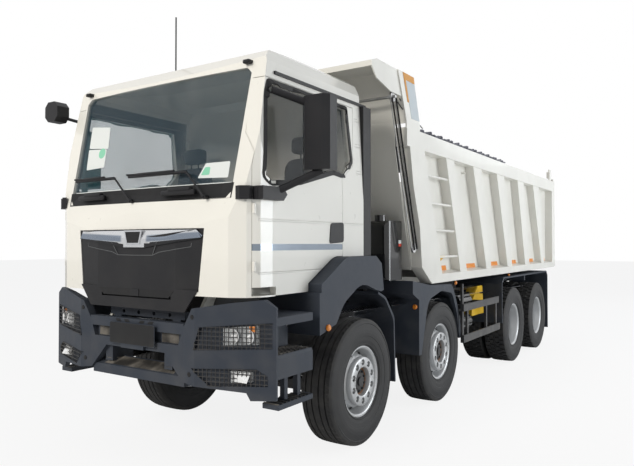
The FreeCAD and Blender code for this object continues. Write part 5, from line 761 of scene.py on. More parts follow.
def grown(outline: Sequence[Flat], reach: float) -> list[Flat]:
    """Moves every side of a flat outline outwards.

    Args:
        outline: Corners in order.
        reach: How far the sides move; less than 0 moves them in.

    Returns:
        The new corners.
    """
    turn = sum(a[0] * b[1] - b[0] * a[1] for a, b in zip(outline, list(outline[1:]) + [outline[0]]))
    sign = 1.0 if turn > 0 else -1.0
    fine = []
    for i, corner in enumerate(outline):
        back = (Vector(corner) - Vector(outline[i - 1])).normalized()
        ahead = (Vector(outline[(i + 1) % len(outline)]) - Vector(corner)).normalized()
        first, second = Vector((back.y, -back.x)) * sign, Vector((ahead.y, -ahead.x)) * sign
        middle = (first + second).normalized()
        fine.append(tuple(Vector(corner) + middle * (reach / max(middle.dot(first), 0.4))))
    return fine


def ribbon(path: Sequence[Flat], width: float) -> list[Flat]:
    """Gives the outline of a strip that follows a flat path.

    Args:
        path: Points along its middle.
        width: Width of the strip.

    Returns:
        The corners of the strip.
    """
    first, second = [], []
    for index, spot in enumerate(path):
        here = Vector(spot)
        back = here - Vector(path[max(index - 1, 0)])
        ahead = Vector(path[min(index + 1, len(path) - 1)]) - here
        way = (back.normalized() + ahead.normalized()).normalized()
        side = Vector((-way.y, way.x)) * (width / 2)
        first.append(tuple(here + side))
        second.append(tuple(here - side))
    return first + second[::-1]


class Skin:
    """Outer surface of CAD nodes, on which flat outlines are laid."""

    def __init__(self, *nodes: str) -> None:
        """Reads the surface of the nodes."""
        points, faces = [], []
        for name in nodes:
            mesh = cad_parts[name].data
            start = len(points)
            points.extend(v.co.copy() for v in mesh.vertices)
            faces.extend([start + i for i in p.vertices] for p in mesh.polygons)
        self.tree = BVHTree.FromPolygons(points, faces)

    def land(self, facing: Facing, flat: Flat, proud: float) -> Vector | None:
        """Finds the surface under a flat point.

        Args:
            facing: Side that the surface is seen from.
            flat: The two other coordinates of the point.
            proud: Height over the surface.

        Returns:
            The point over the surface, or None.
        """
        axis, sign = facing.value
        start = list(flat)
        start.insert(axis, sign * 9.0)
        way = [0.0, 0.0, 0.0]
        way[axis] = -sign
        spot = self.tree.ray_cast(Vector(start), Vector(way))[0]
        if spot is None:
            return None
        spot[axis] += sign * proud
        return spot

    def studs(self, name: str, facing: Facing, spots: Sequence[Flat], radius: float, body: str, shade: Shade,
              steps: int = 14, height: float = 0.005) -> bpy.types.Object:
        """Sets low round studs on the surface, such as bolts or markers.

        Args:
            name: Plain name of the piece.
            facing: Side that the surface is seen from.
            spots: Flat places of the studs.
            radius: Radius of a stud.
            body: Body that it rides.
            shade: Finish.
            steps: Sides round a stud.
            height: Height over the surface.

        Returns:
            The new object.
        """
        batch = Batch()
        axis, sign = facing.value
        way = [0.0, 0.0, 0.0]
        way[axis] = sign
        for flat in spots:
            spot = self.land(facing, flat, 0.0)
            if spot is not None:
                batch.turned(tuple(spot), tuple(way), [(-0.006, radius), (height * 0.6, radius),
                                                       (height, radius * 0.7)], steps)
        return batch.make(name, body, shade, "dark_trim")

    def patch(self, name: str, facing: Facing, outline: Sequence[Flat], body: str, shade: Shade, slot: str,
              hole: Sequence[Flat] = (), proud: float = 0.003, wall: float = 0.004, cell: float = 0.06,
              level: float | None = None) -> bpy.types.Object:
        """Lays a thin plate on the surface.

        Args:
            name: Plain name of the piece.
            facing: Side that the surface is seen from.
            outline: Corners of the plate.
            body: Body that it rides.
            shade: Finish.
            slot: Material slot; not used.
            hole: Corners of an opening in it.
            proud: Height of its face over the surface.
            wall: Thickness.
            cell: Width of its mesh cells.
            level: Place of the face where it stays flat instead of on the surface.

        Returns:
            The new object.
        """
        bm = bmesh.new()
        edges = []
        for loop in filter(len, (outline, hole)):
            verts = [bm.verts.new((p[0], p[1], 0.0)) for p in loop]
            edges += [bm.edges.new((verts[i - 1], verts[i])) for i in range(len(verts))]
        bmesh.ops.triangle_fill(bm, use_beauty=True, use_dissolve=False, edges=edges)
        low = [min(p[i] for p in outline) for i in range(2)]
        high = [max(p[i] for p in outline) for i in range(2)]
        for i in range(2):
            count = int((high[i] - low[i]) / cell)
            for k in range(1, count + 1):
                spot, way = [0.0, 0.0, 0.0], [0.0, 0.0, 0.0]
                spot[i] = low[i] + (high[i] - low[i]) * k / (count + 1)
                way[i] = 1.0
                bmesh.ops.bisect_plane(bm, geom=bm.verts[:] + bm.edges[:] + bm.faces[:], dist=1e-6,
                                       plane_co=spot, plane_no=way)
        axis, sign = facing.value
        last = None
        for vert in bm.verts:
            flat = (vert.co.x, vert.co.y)
            spot = self.land(facing, flat, proud)
            if level is not None or (spot is None and last is None):
                spot = list(flat)
                spot.insert(axis, level or 0.0)
            elif spot is None:
                spot = list(flat)
                spot.insert(axis, last)
            last = spot[axis]
            vert.co = spot
        bmesh.ops.recalc_face_normals(bm, faces=bm.faces[:])
        mean = sum((f.normal[axis] * f.calc_area() for f in bm.faces), 0.0)
        if mean * sign < 0:
            bmesh.ops.reverse_faces(bm, faces=bm.faces[:])
        mesh = bpy.data.meshes.new(name)
        bm.to_mesh(mesh)
        bm.free()
        item = settle(placed(name, mesh), body, shade)
        wrap = item.modifiers.new("wall", "SOLIDIFY")
        wrap.thickness = wall
        wrap.offset = -1.0
        return item


# Wheels
@dataclass
class Tyres:
    """Tyres with a ribbed tread in front and a lugged tread behind."""

    radius: float = TYRE_RADIUS
    half_width: float = 0.16
    tread_half: float = 0.128
    bead: float = 0.298
    groove: float = 0.015
    front_centre: float = 1.03
    outer_centre: float = 1.072
    inner_centre: float = 0.722
    axles: Mapping[str, float] = field(default_factory=lambda: {
        "one": 0.0, "two": 1.795, "three": 4.595, "four": 5.995})

    def sidewall(self) -> list[Flat]:
        """Gives the outer half of the section, from the tread's edge to the bead."""
        shoulder = ((0.012, 0.024), (0.005, 0.045), (0.009, 0.05), (0.001, 0.1), (0.0, 0.128), (0.003, 0.155),
                    (0.006, 0.158))
        foot = ((0.011, 0.06), (0.02, 0.032), (0.017, 0.026), (0.03, 0.012), (0.046, 0.001))
        return ([(self.tread_half + 0.006, self.radius - 0.006)]
                + [(self.half_width - inset, self.radius - drop) for inset, drop in shoulder]
                + [(self.half_width - inset, self.bead + rise) for inset, rise in foot])

    def mesh(self, name: str, across: Sequence[float], turns: Sequence[float],
             drop: Callable[[float, float], float]) -> bpy.types.Mesh:
        """Builds one tyre round the x axis.

        Args:
            name: Name of the mesh.
            across: Places of the tread's lines across it.
            turns: Angles of the lines round it.
            drop: Depth of the tread at a place and angle.

        Returns:
            The mesh.
        """
        side = self.sidewall()
        section = [(-x, r) for x, r in reversed(side)] + [(w, None) for w in across] + side
        points, faces = [], []
        for turn in turns:
            for x, r in section:
                reach = r
                if r is None:
                    reach = self.radius - 0.004 * (x / self.tread_half) ** 2 - drop(x, turn)
                points.append((x, reach * math.cos(turn), reach * math.sin(turn)))
        rows, count = len(section), len(turns)
        for k in range(count):
            nxt = (k + 1) % count
            for j in range(rows - 1):
                faces.append((k * rows + j, nxt * rows + j, nxt * rows + j + 1, k * rows + j + 1))
        mesh = bpy.data.meshes.new(name)
        mesh.from_pydata(points, [], faces)
        bm = bmesh.new()
        bm.from_mesh(mesh)
        bmesh.ops.recalc_face_normals(bm, faces=bm.faces[:])
        bm.to_mesh(mesh)
        bm.free()
        mesh.materials.append(Shade.TYRE.material())
        return mesh

    def ribbed(self) -> bpy.types.Mesh:
        """Builds the front tyre, with five ribs and notched shoulders."""
        grooves = (-0.09, -0.034, 0.034, 0.09)
        lines = sorted({-self.tread_half, self.tread_half} | {
            g + s * w for g in grooves for s in (-1, 1) for w in (0.0035, 0.007)})
        pitch = 2 * math.pi / 56
        turns = [pitch * k + pitch * t for k in range(56) for t in (0.0, 0.42, 0.5, 0.58)]

        def drop(x: float, turn: float) -> float:
            """Depth at one place."""
            if min(abs(abs(x) - g) for g in (0.034, 0.09)) < 0.004:
                return self.groove
            notch = 0.4 < (turn / pitch) % 1.0 < 0.6
            return 0.007 if notch and abs(x) > 0.1 else 0.0

        return self.mesh("ribbed_tyre", lines, turns, drop)

    def lugged(self) -> bpy.types.Mesh:
        """Builds the rear tyre, with staggered blocks across its tread."""
        edges = (0.0, 0.012, 0.016, 0.058, 0.062, 0.072, 0.076, self.tread_half)
        lines = sorted({s * e for e in edges for s in (-1.0, 1.0)})
        pitch = 2 * math.pi / 44
        shares = (0.0, 0.05, 0.36, 0.41, 0.5, 0.55, 0.86, 0.91)
        turns = [pitch * (k + t) for k in range(44) for t in shares]

        def drop(x: float, turn: float) -> float:
            """Depth at one place."""
            phase = (turn / pitch + (0.5 if x < 0 else 0.0) + 1e-6) % 1.0
            if 0.0159 > abs(x) or 0.0621 < abs(x) < 0.0719:
                return self.groove if 0.04 < phase < 0.42 or abs(x) > 0.02 else self.groove * 0.5
            if abs(x) >= 0.0159 and abs(x) <= 0.0621:
                return self.groove if 0.49 < phase < 0.9 and phase > 0.54 else 0.0
            return self.groove if 0.04 < phase < 0.4 else 0.0

        return self.mesh("lugged_tyre", lines, turns, drop)

    def dress(self) -> None:
        """Puts the tyres on their wheels."""
        ribbed, lugged = self.ribbed(), self.lugged()
        for axle, reach in self.axles.items():
            for side, sign in SIDES.items():
                body, node = "wheel_%s_%s" % (axle, side), "tyre_axle_%s_%s" % (axle, side)
                steered = axle in ("one", "two")
                centres = {"": self.front_centre} if steered else {
                    "outer_": self.outer_centre, "inner_": self.inner_centre}
                for word, centre in centres.items():
                    item = placed("%styre_%s_%s" % (word, axle, side), ribbed if steered else lugged)
                    item.location = (sign * centre, along(reach), TYRE_RADIUS)
                    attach(item, body)
                    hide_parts(node)
        log.info("tyres on four axles")


@dataclass
class Wheels:
    """Rims, discs, hubs and nuts of every wheel."""

    lip: float = 0.127
    disc_face: float = 0.102
    dish_face: float = -0.161
    nut_circle: float = 0.1675
    opening: float = 0.0275
    guard_face: float = 0.145
    nut_count: int = 10
    bolt_radii: Flat = (0.0105, 0.008)
    front_hub: Sequence[Flat] = (
        (-0.175, 0.205), (-0.02, 0.205), (-0.012, 0.14), (0.06, 0.117), (0.098, 0.117), (0.101, 0.113),
        (0.101, 0.075), (0.11, 0.068), (0.113, 0.04), (0.116, 0.02))
    rear_hub: Sequence[Flat] = (
        (-0.5, 0.205), (-0.335, 0.205), (-0.33, 0.141), (-0.1, 0.139), (-0.094, 0.134), (-0.094, 0.1),
        (-0.075, 0.094), (-0.062, 0.07), (-0.056, 0.03))
    hub_edge: Sequence[Flat] = ((0.096, 0.1175), (0.104, 0.1175), (0.104, 0.105), (0.1, 0.105))
    tyres: Tyres = field(default_factory=Tyres)

    def barrel(self, batch: Batch, centre: Point, sign: float) -> None:
        """Turns the rim's barrel with its rolled lips.

        Args:
            batch: Batch that takes it in.
            centre: Middle of the tyre.
            sign: 1 on the left side and -1 on the right.
        """
        lip = self.lip
        loop = [(lip, 0.300), (lip, 0.309), (lip - 0.005, 0.3125), (lip - 0.011, 0.311), (lip - 0.014, 0.299),
                (0.014 - lip, 0.299), (0.011 - lip, 0.311), (0.005 - lip, 0.3125), (-lip, 0.309),
                (-lip, 0.292), (-0.108, 0.284), (-0.07, 0.264), (0.02, 0.262), (0.05, 0.274), (0.1, 0.281),
                (lip - 0.012, 0.286), (lip - 0.006, 0.292), (lip - 0.004, 0.298)]
        batch.turned(centre, (sign, 0, 0), loop, 56, True)

    def front(self, name: str, body: str, sign: float, reach: float) -> None:
        """Builds a front wheel, whose disc bulges outwards under a nut guard.

        Args:
            name: Name of the wheel.
            body: Body of the wheel.
            sign: 1 on the left side and -1 on the right.
            reach: Place of the axle.
        """
        centre = (sign * self.tyres.front_centre, along(reach), TYRE_RADIUS)
        way, face = (sign, 0, 0), self.disc_face
        silver = Batch()
        self.barrel(silver, centre, sign)
        disc = [(-0.03, 0.263), (0.012, 0.257), (0.05, 0.243), (0.078, 0.226), (0.094, 0.213), (face, 0.2),
                (face, 0.118), (face - 0.012, 0.118), (face - 0.013, 0.196), (0.07, 0.222), (0.04, 0.24),
                (0.0, 0.25), (-0.03, 0.252)]
        silver.turned(centre, way, disc, 56, True)
        self.guard(silver, centre, sign)
        item = silver.make("wheel_" + name, body, Shade.RIM, "rim_paint", True)
        item.data.set_sharp_from_angle(angle=math.radians(35))
        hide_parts("rim_axle_" + name)
        self.nuts(name, body, centre, sign, face, 0.034)
        hub, edge = Batch(), Batch()
        hub.turned(centre, way, self.front_hub, 40)
        hub.make("hub_" + name, body, Shade.CASTING, "cast_metal")
        edge.turned(centre, way, self.hub_edge, 40, True)
        edge.make("hub_edge_" + name, body, Shade.RUST, "cast_metal")
        bolts = self.bolts(centre, sign, (0.1, 0.09), 10, 0.016)
        bolts.make("hub_bolts_" + name, body, Shade.BLACK, "cast_metal")
        self.holes(name, body, centre, sign, (0.062, 0.2385), 0.62)

    def guard(self, batch: Batch, centre: Point, sign: float) -> None:
        """Cuts the ring that guards the nuts, with an opening round each of them.

        Args:
            batch: Batch that takes it in.
            centre: Middle of the tyre.
            sign: 1 on the left side and -1 on the right.
        """
        top = self.guard_face
        bm = bmesh.new()
        loops = [self.loop(0.0, 0.0, 0.204, 60), self.loop(0.0, 0.0, 0.13, 40)]
        for k in range(self.nut_count):
            turn = 2 * math.pi * k / self.nut_count
            loops.append(self.loop(self.nut_circle * math.sin(turn), self.nut_circle * math.cos(turn),
                                   self.opening, 18))
        edges = []
        for loop in loops:
            verts = [bm.verts.new((top, y, z)) for y, z in loop]
            edges += [bm.edges.new((verts[i - 1], verts[i])) for i in range(len(verts))]
        bmesh.ops.triangle_fill(bm, use_beauty=True, use_dissolve=False, edges=edges)
        walls = [[(top, 0.204), (top - 0.003, 0.209), (top - 0.01, 0.2125), (0.098, 0.213)],
                 [(top, 0.13), (top - 0.003, 0.1255), (top - 0.01, 0.123), (0.098, 0.1185)]]
        for wall, count in zip(walls, (60, 40)):
            rings = [[bm.verts.new((x, y, z)) for y, z in self.loop(0.0, 0.0, r, count)] for x, r in wall]
            for first, second in zip(rings, rings[1:]):
                for i in range(count):
                    bm.faces.new((first[i - 1], first[i], second[i], second[i - 1]))
        for loop in loops[2:]:
            rings = [[bm.verts.new((x, y, z)) for y, z in loop] for x in (top, self.disc_face)]
            for i in range(len(loop)):
                bm.faces.new((rings[0][i - 1], rings[0][i], rings[1][i], rings[1][i - 1]))
        bmesh.ops.remove_doubles(bm, verts=bm.verts[:], dist=1e-5)
        bmesh.ops.recalc_face_normals(bm, faces=bm.faces[:])
        for vert in bm.verts:
            vert.co = (centre[0] + sign * vert.co.x, centre[1] + vert.co.y, centre[2] + vert.co.z)
        batch.take(bm)

    @staticmethod
    def loop(y: float, z: float, radius: float, count: int) -> list[Flat]:
        """Gives the points of a circle."""
        turns = [2 * math.pi * k / count for k in range(count)]
        return [(y + radius * math.sin(turn), z + radius * math.cos(turn)) for turn in turns]

    @staticmethod
    def around(centre: Point, sign: float, out: float, radius: float, share: float) -> Point:
        """Gives a point round a wheel's axis at a share of a turn."""
        turn = 2 * math.pi * share
        x, y, z = centre
        return (x + sign * out, y + radius * math.sin(turn), z + radius * math.cos(turn))

    def nuts(self, name: str, body: str, centre: Point, sign: float, face: float, height: float) -> None:
        """Sets the ten nuts on a disc.

        Args:
            name: Name of the wheel.
            body: Body of the wheel.
            centre: Middle of the tyre.
            sign: 1 on the left side and -1 on the right.
            face: Place of the disc's face.
            height: Height of a nut with its stud.
        """
        batch = Batch()
        nut = [(0, 0.022), (0.004, 0.022), (0.006, 0.017), (height * 0.8, 0.0165), (height * 0.86, 0.012),
               (height, 0.0095)]
        for k in range(self.nut_count):
            spot = self.around(centre, sign, face, self.nut_circle, k / self.nut_count)
            batch.turned(spot, (sign, 0, 0), nut, 6)
        batch.make("nuts_" + name, body, Shade.NUT, "bright_steel")

    def bolts(self, centre: Point, sign: float, spot: Flat, count: int, height: float) -> Batch:
        """Gathers the bolts of a hub's cap.

        Args:
            centre: Middle of the tyre.
            sign: 1 on the left side and -1 on the right.
            spot: Reach and radius of a bolt's seat.
            count: Number of bolts.
            height: Height of a bolt's head.

        Returns:
            The batch.
        """
        batch = Batch()
        wide, narrow = self.bolt_radii
        for k in range(count):
            foot = self.around(centre, sign, spot[0], spot[1], k / count)
            batch.turned(foot, (sign, 0, 0), [(0, wide), (height - 0.002, wide), (height, narrow)], 6)
        return batch

    def holes(self, name: str, body: str, centre: Point, sign: float, spot: Flat, lean: float) -> None:
        """Lays the hand holes on a disc's slope as dark discs, which paint the shade inside the holes.

        Args:
            name: Name of the wheel.
            body: Body of the wheel.
            centre: Middle of the tyre.
            sign: 1 on the left side and -1 on the right.
            spot: Reach and radius of a hole's middle.
            lean: Share of the slope's outward lean.
        """
        batch = Batch()
        for k in range(self.nut_count):
            share = (k + 0.5) / self.nut_count
            turn = 2 * math.pi * share
            way = (sign, math.sin(turn) * lean, math.cos(turn) * lean)
            batch.turned(self.around(centre, sign, spot[0], spot[1], share), way,
                         [(-0.004, 0.015), (0.0045, 0.015), (0.005, 0.012), (0.002, 0.009)], 20)
        # Painted shade: dark discs stand where the openings are, for the shade inside them.
        batch.make("hand_holes_" + name, body, Shade.SEAL, "rim_paint")

    def rear(self, name: str, body: str, sign: float, reach: float) -> None:
        """Builds a pair of rear wheels with their deep dishes and the long hub.

        Args:
            name: Name of the wheel.
            body: Body of the wheel.
            sign: 1 on the left side and -1 on the right.
            reach: Place of the axle.
        """
        centre = (sign * self.tyres.outer_centre, along(reach), TYRE_RADIUS)
        inner = (sign * self.tyres.inner_centre, along(reach), TYRE_RADIUS)
        way, face = (sign, 0, 0), self.dish_face
        silver = Batch()
        self.barrel(silver, centre, sign)
        self.barrel(silver, inner, sign)
        for spot, mirror in ((centre, 1.0), (inner, -1.0)):
            dish = [(-0.05, 0.263), (-0.1, 0.258), (-0.135, 0.242), (-0.153, 0.222), (face, 0.2),
                    (face, 0.118), (face - 0.013, 0.118), (face - 0.013, 0.206), (-0.15, 0.238),
                    (-0.11, 0.26), (-0.06, 0.268)]
            silver.turned(spot, (sign * mirror, 0, 0), dish, 56, True)
        item = silver.make("wheel_" + name, body, Shade.RIM, "rim_paint", True)
        item.data.set_sharp_from_angle(angle=math.radians(35))
        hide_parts("rim_axle_" + name)
        self.nuts(name, body, centre, sign, face, 0.036)
        hub = Batch()
        hub.turned(centre, way, self.rear_hub, 40)
        hub.make("hub_" + name, body, Shade.CASTING, "cast_metal")
        bolts = self.bolts(centre, sign, (-0.095, 0.117), 12, 0.013)
        bolts.make("hub_bolts_" + name, body, Shade.NUT, "bright_steel")
        self.holes(name, body, centre, sign, (-0.144, 0.2325), -0.75)

    def dress(self) -> None:
        """Builds every wheel."""
        for axle, reach in self.tyres.axles.items():
            build = self.front if axle in ("one", "two") else self.rear
            for side, sign in SIDES.items():
                build("%s_%s" % (axle, side), "wheel_%s_%s" % (axle, side), sign, reach)
        log.info("wheels")


# Cab
@dataclass
class Cab:
    """Trim and labels of the cab."""

    window: Sequence[Flat] = ((-1.257, 2.844), (-1.225, 2.931), (-0.15, 2.931), (-0.095, 2.489),
                              (-0.216, 2.355), (-0.391, 2.374), (-0.882, 2.249), (-1.241, 2.217),
                              (-1.295, 2.254))
    frame_wall: float = 0.035
    handle_low: Flat = (-0.469, 1.764)
    handle_high: Flat = (-0.244, 1.944)
    grip_low: Flat = (-0.44, 1.87)
    grip_high: Flat = (-0.27, 1.905)
    grip_reach: Flat = (1.106, 1.122)
    foot_band: Sequence[Flat] = ((-0.93, 2.088), (0.93, 2.088), (0.938, 2.2), (-0.938, 2.2))
    foot_highlight: Sequence[Flat] = ((-0.9, 2.2), (0.9, 2.2), (0.9, 2.206), (-0.9, 2.206))
    labels: Mapping[str, tuple[Sequence[Flat], Shade, float]] = field(default_factory=lambda: {
        "upper": ([(-0.845, 2.797), (-0.575, 2.767), (-0.55, 2.575), (-0.83, 2.6)], Shade.LABEL, 0.002),
        "middle": ([(-0.832, 2.59), (-0.571, 2.572), (-0.563, 2.413), (-0.813, 2.404)], Shade.LABEL, 0.002),
        "corner": ([(0.57, 2.25), (0.63, 2.36), (0.86, 2.36), (0.86, 2.24)], Shade.LABEL, 0.002),
        "green": ([(0.6, 2.27), (0.63, 2.33), (0.68, 2.33), (0.68, 2.27)], Shade.GREEN, 0.003),
        "oval": (Wheels.loop(-0.625, 2.54, 0.045, 20), Shade.GREEN, 0.003)})

    def dress(self) -> None:
        """Adds the trim."""
        for side, sign in SIDES.items():
            self.door(side, sign)
        self.screen()
        log.info("cab trim")

    def door(self, side: str, sign: float) -> None:
        """Dresses one door.

        Args:
            side: Side of the cab.
            sign: 1 on the left side and -1 on the right.
        """
        facing, body = Facing.beside(sign), "door_" + side
        door = Skin(body)
        inner = behind_axle(self.window)
        outer = rounded(grown(inner, self.frame_wall), 0.03, 3)
        door.patch("window_frame_" + side, facing, outer, body, Shade.SEAL, "black_plastic",
                   hole=rounded(grown(inner, -0.004), 0.02, 3), proud=0.004, wall=0.006, cell=0.08)
        low, high = self.handle_low, self.handle_high
        plate = behind_axle([low, (high[0], low[1] + 0.012), high, (low[0] + 0.02, high[1] - 0.01)])
        door.patch("handle_plate_" + side, facing, rounded(plate, 0.03), body, Shade.BLACK,
                   "black_plastic", proud=0.006, wall=0.008)
        grip = Batch()
        ends = sorted(sign * reach for reach in self.grip_reach)
        low, high = behind_axle([self.grip_low, self.grip_high])
        grip.block((ends[0], *low), (ends[1], *high), 0.005)
        grip.make("handle_grip_" + side, body, Shade.BLACK, "black_plastic", True)

    def screen(self) -> None:
        """Adds the dark band under the screen, a pale painted highlight along its lower edge, and the blank
        labels behind its edge.
        """
        glass = Skin("windscreen", "cab_shell")
        glass.patch("screen_foot_band", Facing.NOSE, self.foot_band, "cab", Shade.SEAL, "black_plastic",
                    proud=0.002, wall=0.003, cell=0.12)
        # Painted highlight: a thin pale line along the screen's lower edge, where the light catches it.
        glass.patch("screen_foot_highlight", Facing.NOSE, self.foot_highlight, "cab", Shade.LABEL, "black_plastic",
                    proud=0.004, wall=0.004, cell=0.12)
        for name, (outline, shade, proud) in self.labels.items():
            glass.patch("screen_label_" + name, Facing.NOSE, rounded(outline, 0.01, 2), "cab", shade,
                        "lamp_glass", proud=proud, wall=0.002)


@dataclass
class Face:
    """Chrome bar, grille lines, wiper blades and roof markers of the cab's face."""

    chrome: Sequence[Flat] = ((-0.655, 1.866), (0.655, 1.866), (0.7, 1.822), (0.694, 1.808), (0.19, 1.775),
                              (0.135, 1.736), (-0.135, 1.736), (-0.19, 1.775), (-0.694, 1.808), (-0.7, 1.822))
    pocket: Sequence[Flat] = ((-0.088, 1.856), (0.088, 1.856), (0.064, 1.77), (-0.064, 1.77))
    wipers: Sequence[tuple[float, float]] = ((-0.84, -0.33), (-0.16, 0.49))
    humps: Sequence[tuple[float, float]] = ((-0.75, -0.42), (0.26, 0.61))
    line: Sequence[Flat] = ((0.6, 1.77), (0.595, 1.742), (0.275, 1.7), (0.2, 1.676), (0.0, 1.674))
    inner_line: Sequence[Flat] = ((0.262, 1.778), (0.2, 1.676))
    slot: Sequence[Flat] = ((-0.43, 1.412), (0.43, 1.412), (0.375, 1.358), (-0.375, 1.358))
    post: Sequence[Flat] = ((-0.05, 1.412), (0.05, 1.412), (0.05, 1.358), (-0.05, 1.358))
    flap_painted_shade: tuple[Point, Point] = ((-0.52, along(-1.47), 1.31), (0.52, along(-1.462), 1.425))
    marker_spot: float = 0.922
    marker_half: float = 0.03

    def dress(self) -> None:
        """Adds the trim."""
        grille = Skin("grille")
        grille.patch("chrome_bar", Facing.NOSE, self.chrome, "cab", Shade.CHROME_BAR, "bright_steel",
                     cell=0.12)
        level = grille.land(Facing.NOSE, (0.2, 1.81), 0.0).y
        grille.patch("chrome_pocket_rim", Facing.NOSE, grown(self.pocket, 0.012), "cab", Shade.CHROME,
                     "bright_steel", hole=self.pocket, wall=0.008, cell=0.2, level=level - 0.01)
        grille.patch("chrome_pocket", Facing.NOSE, self.pocket, "cab", Shade.SEAL, "black_plastic",
                     cell=0.2, level=level - 0.006)
        for word, path in (("", self.line), ("inner_", self.inner_line)):
            for side, sign in SIDES.items():
                grille.patch("grille_line_" + word + side, Facing.NOSE, ribbon(mirrored(path, sign), 0.005),
                             "cab", Shade.LINE, "black_plastic", proud=0.002, wall=0.003, cell=0.2)
        # Painted shade: a dark strip over the flap's slot stands in for the shade seen through it.
        grille.patch("flap_slot", Facing.NOSE, self.slot, "cab", Shade.SEAL, "black_plastic",
                     proud=0.002, cell=0.2)
        grille.patch("flap_post", Facing.NOSE, self.post, "cab", Shade.BLACK, "black_plastic",
                     proud=0.006, cell=0.2)
        self.wiper_trim()
        # Painted shade: a dark block behind the flap's slot fills the opening with shade.
        back, marker = Batch(), Batch()
        back.block(*self.flap_painted_shade)
        back.make("flap_painted_shade", "cab", Shade.SEAL, "black_plastic")
        for sign in SIDES.values():
            middle = sign * self.marker_spot
            marker.block((middle - self.marker_half, along(-1.3), 3.085),
                         (middle + self.marker_half, along(-1.225), 3.115), 0.01)
        marker.make("roof_markers", "cab", Shade.BLACK, "black_plastic", True)
        log.info("cab face")

    def wiper_trim(self) -> None:
        """Adds the wiper blades and the two humps of their drive."""
        blades, humps = Batch(), Batch()
        for start, end in self.wipers:
            blades.block((start, along(-1.475), 2.288), (end, along(-1.455), 2.312), 0.006)
            blades.block((start + 0.12, along(-1.482), 2.303), (end - 0.12, along(-1.462), 2.322), 0.006)
        blades.make("wiper_blades", "cab", Shade.BLACK, "black_plastic", True)
        for start, end in self.humps:
            humps.block((start, along(-1.51), 2.125), (end, along(-1.472), 2.165), 0.012)
            humps.block((start + 0.08, along(-1.515), 2.155), (end - 0.04, along(-1.47), 2.183), 0.01)
        humps.make("wiper_drive_humps", "cab", Shade.BLACK, "black_plastic", True)


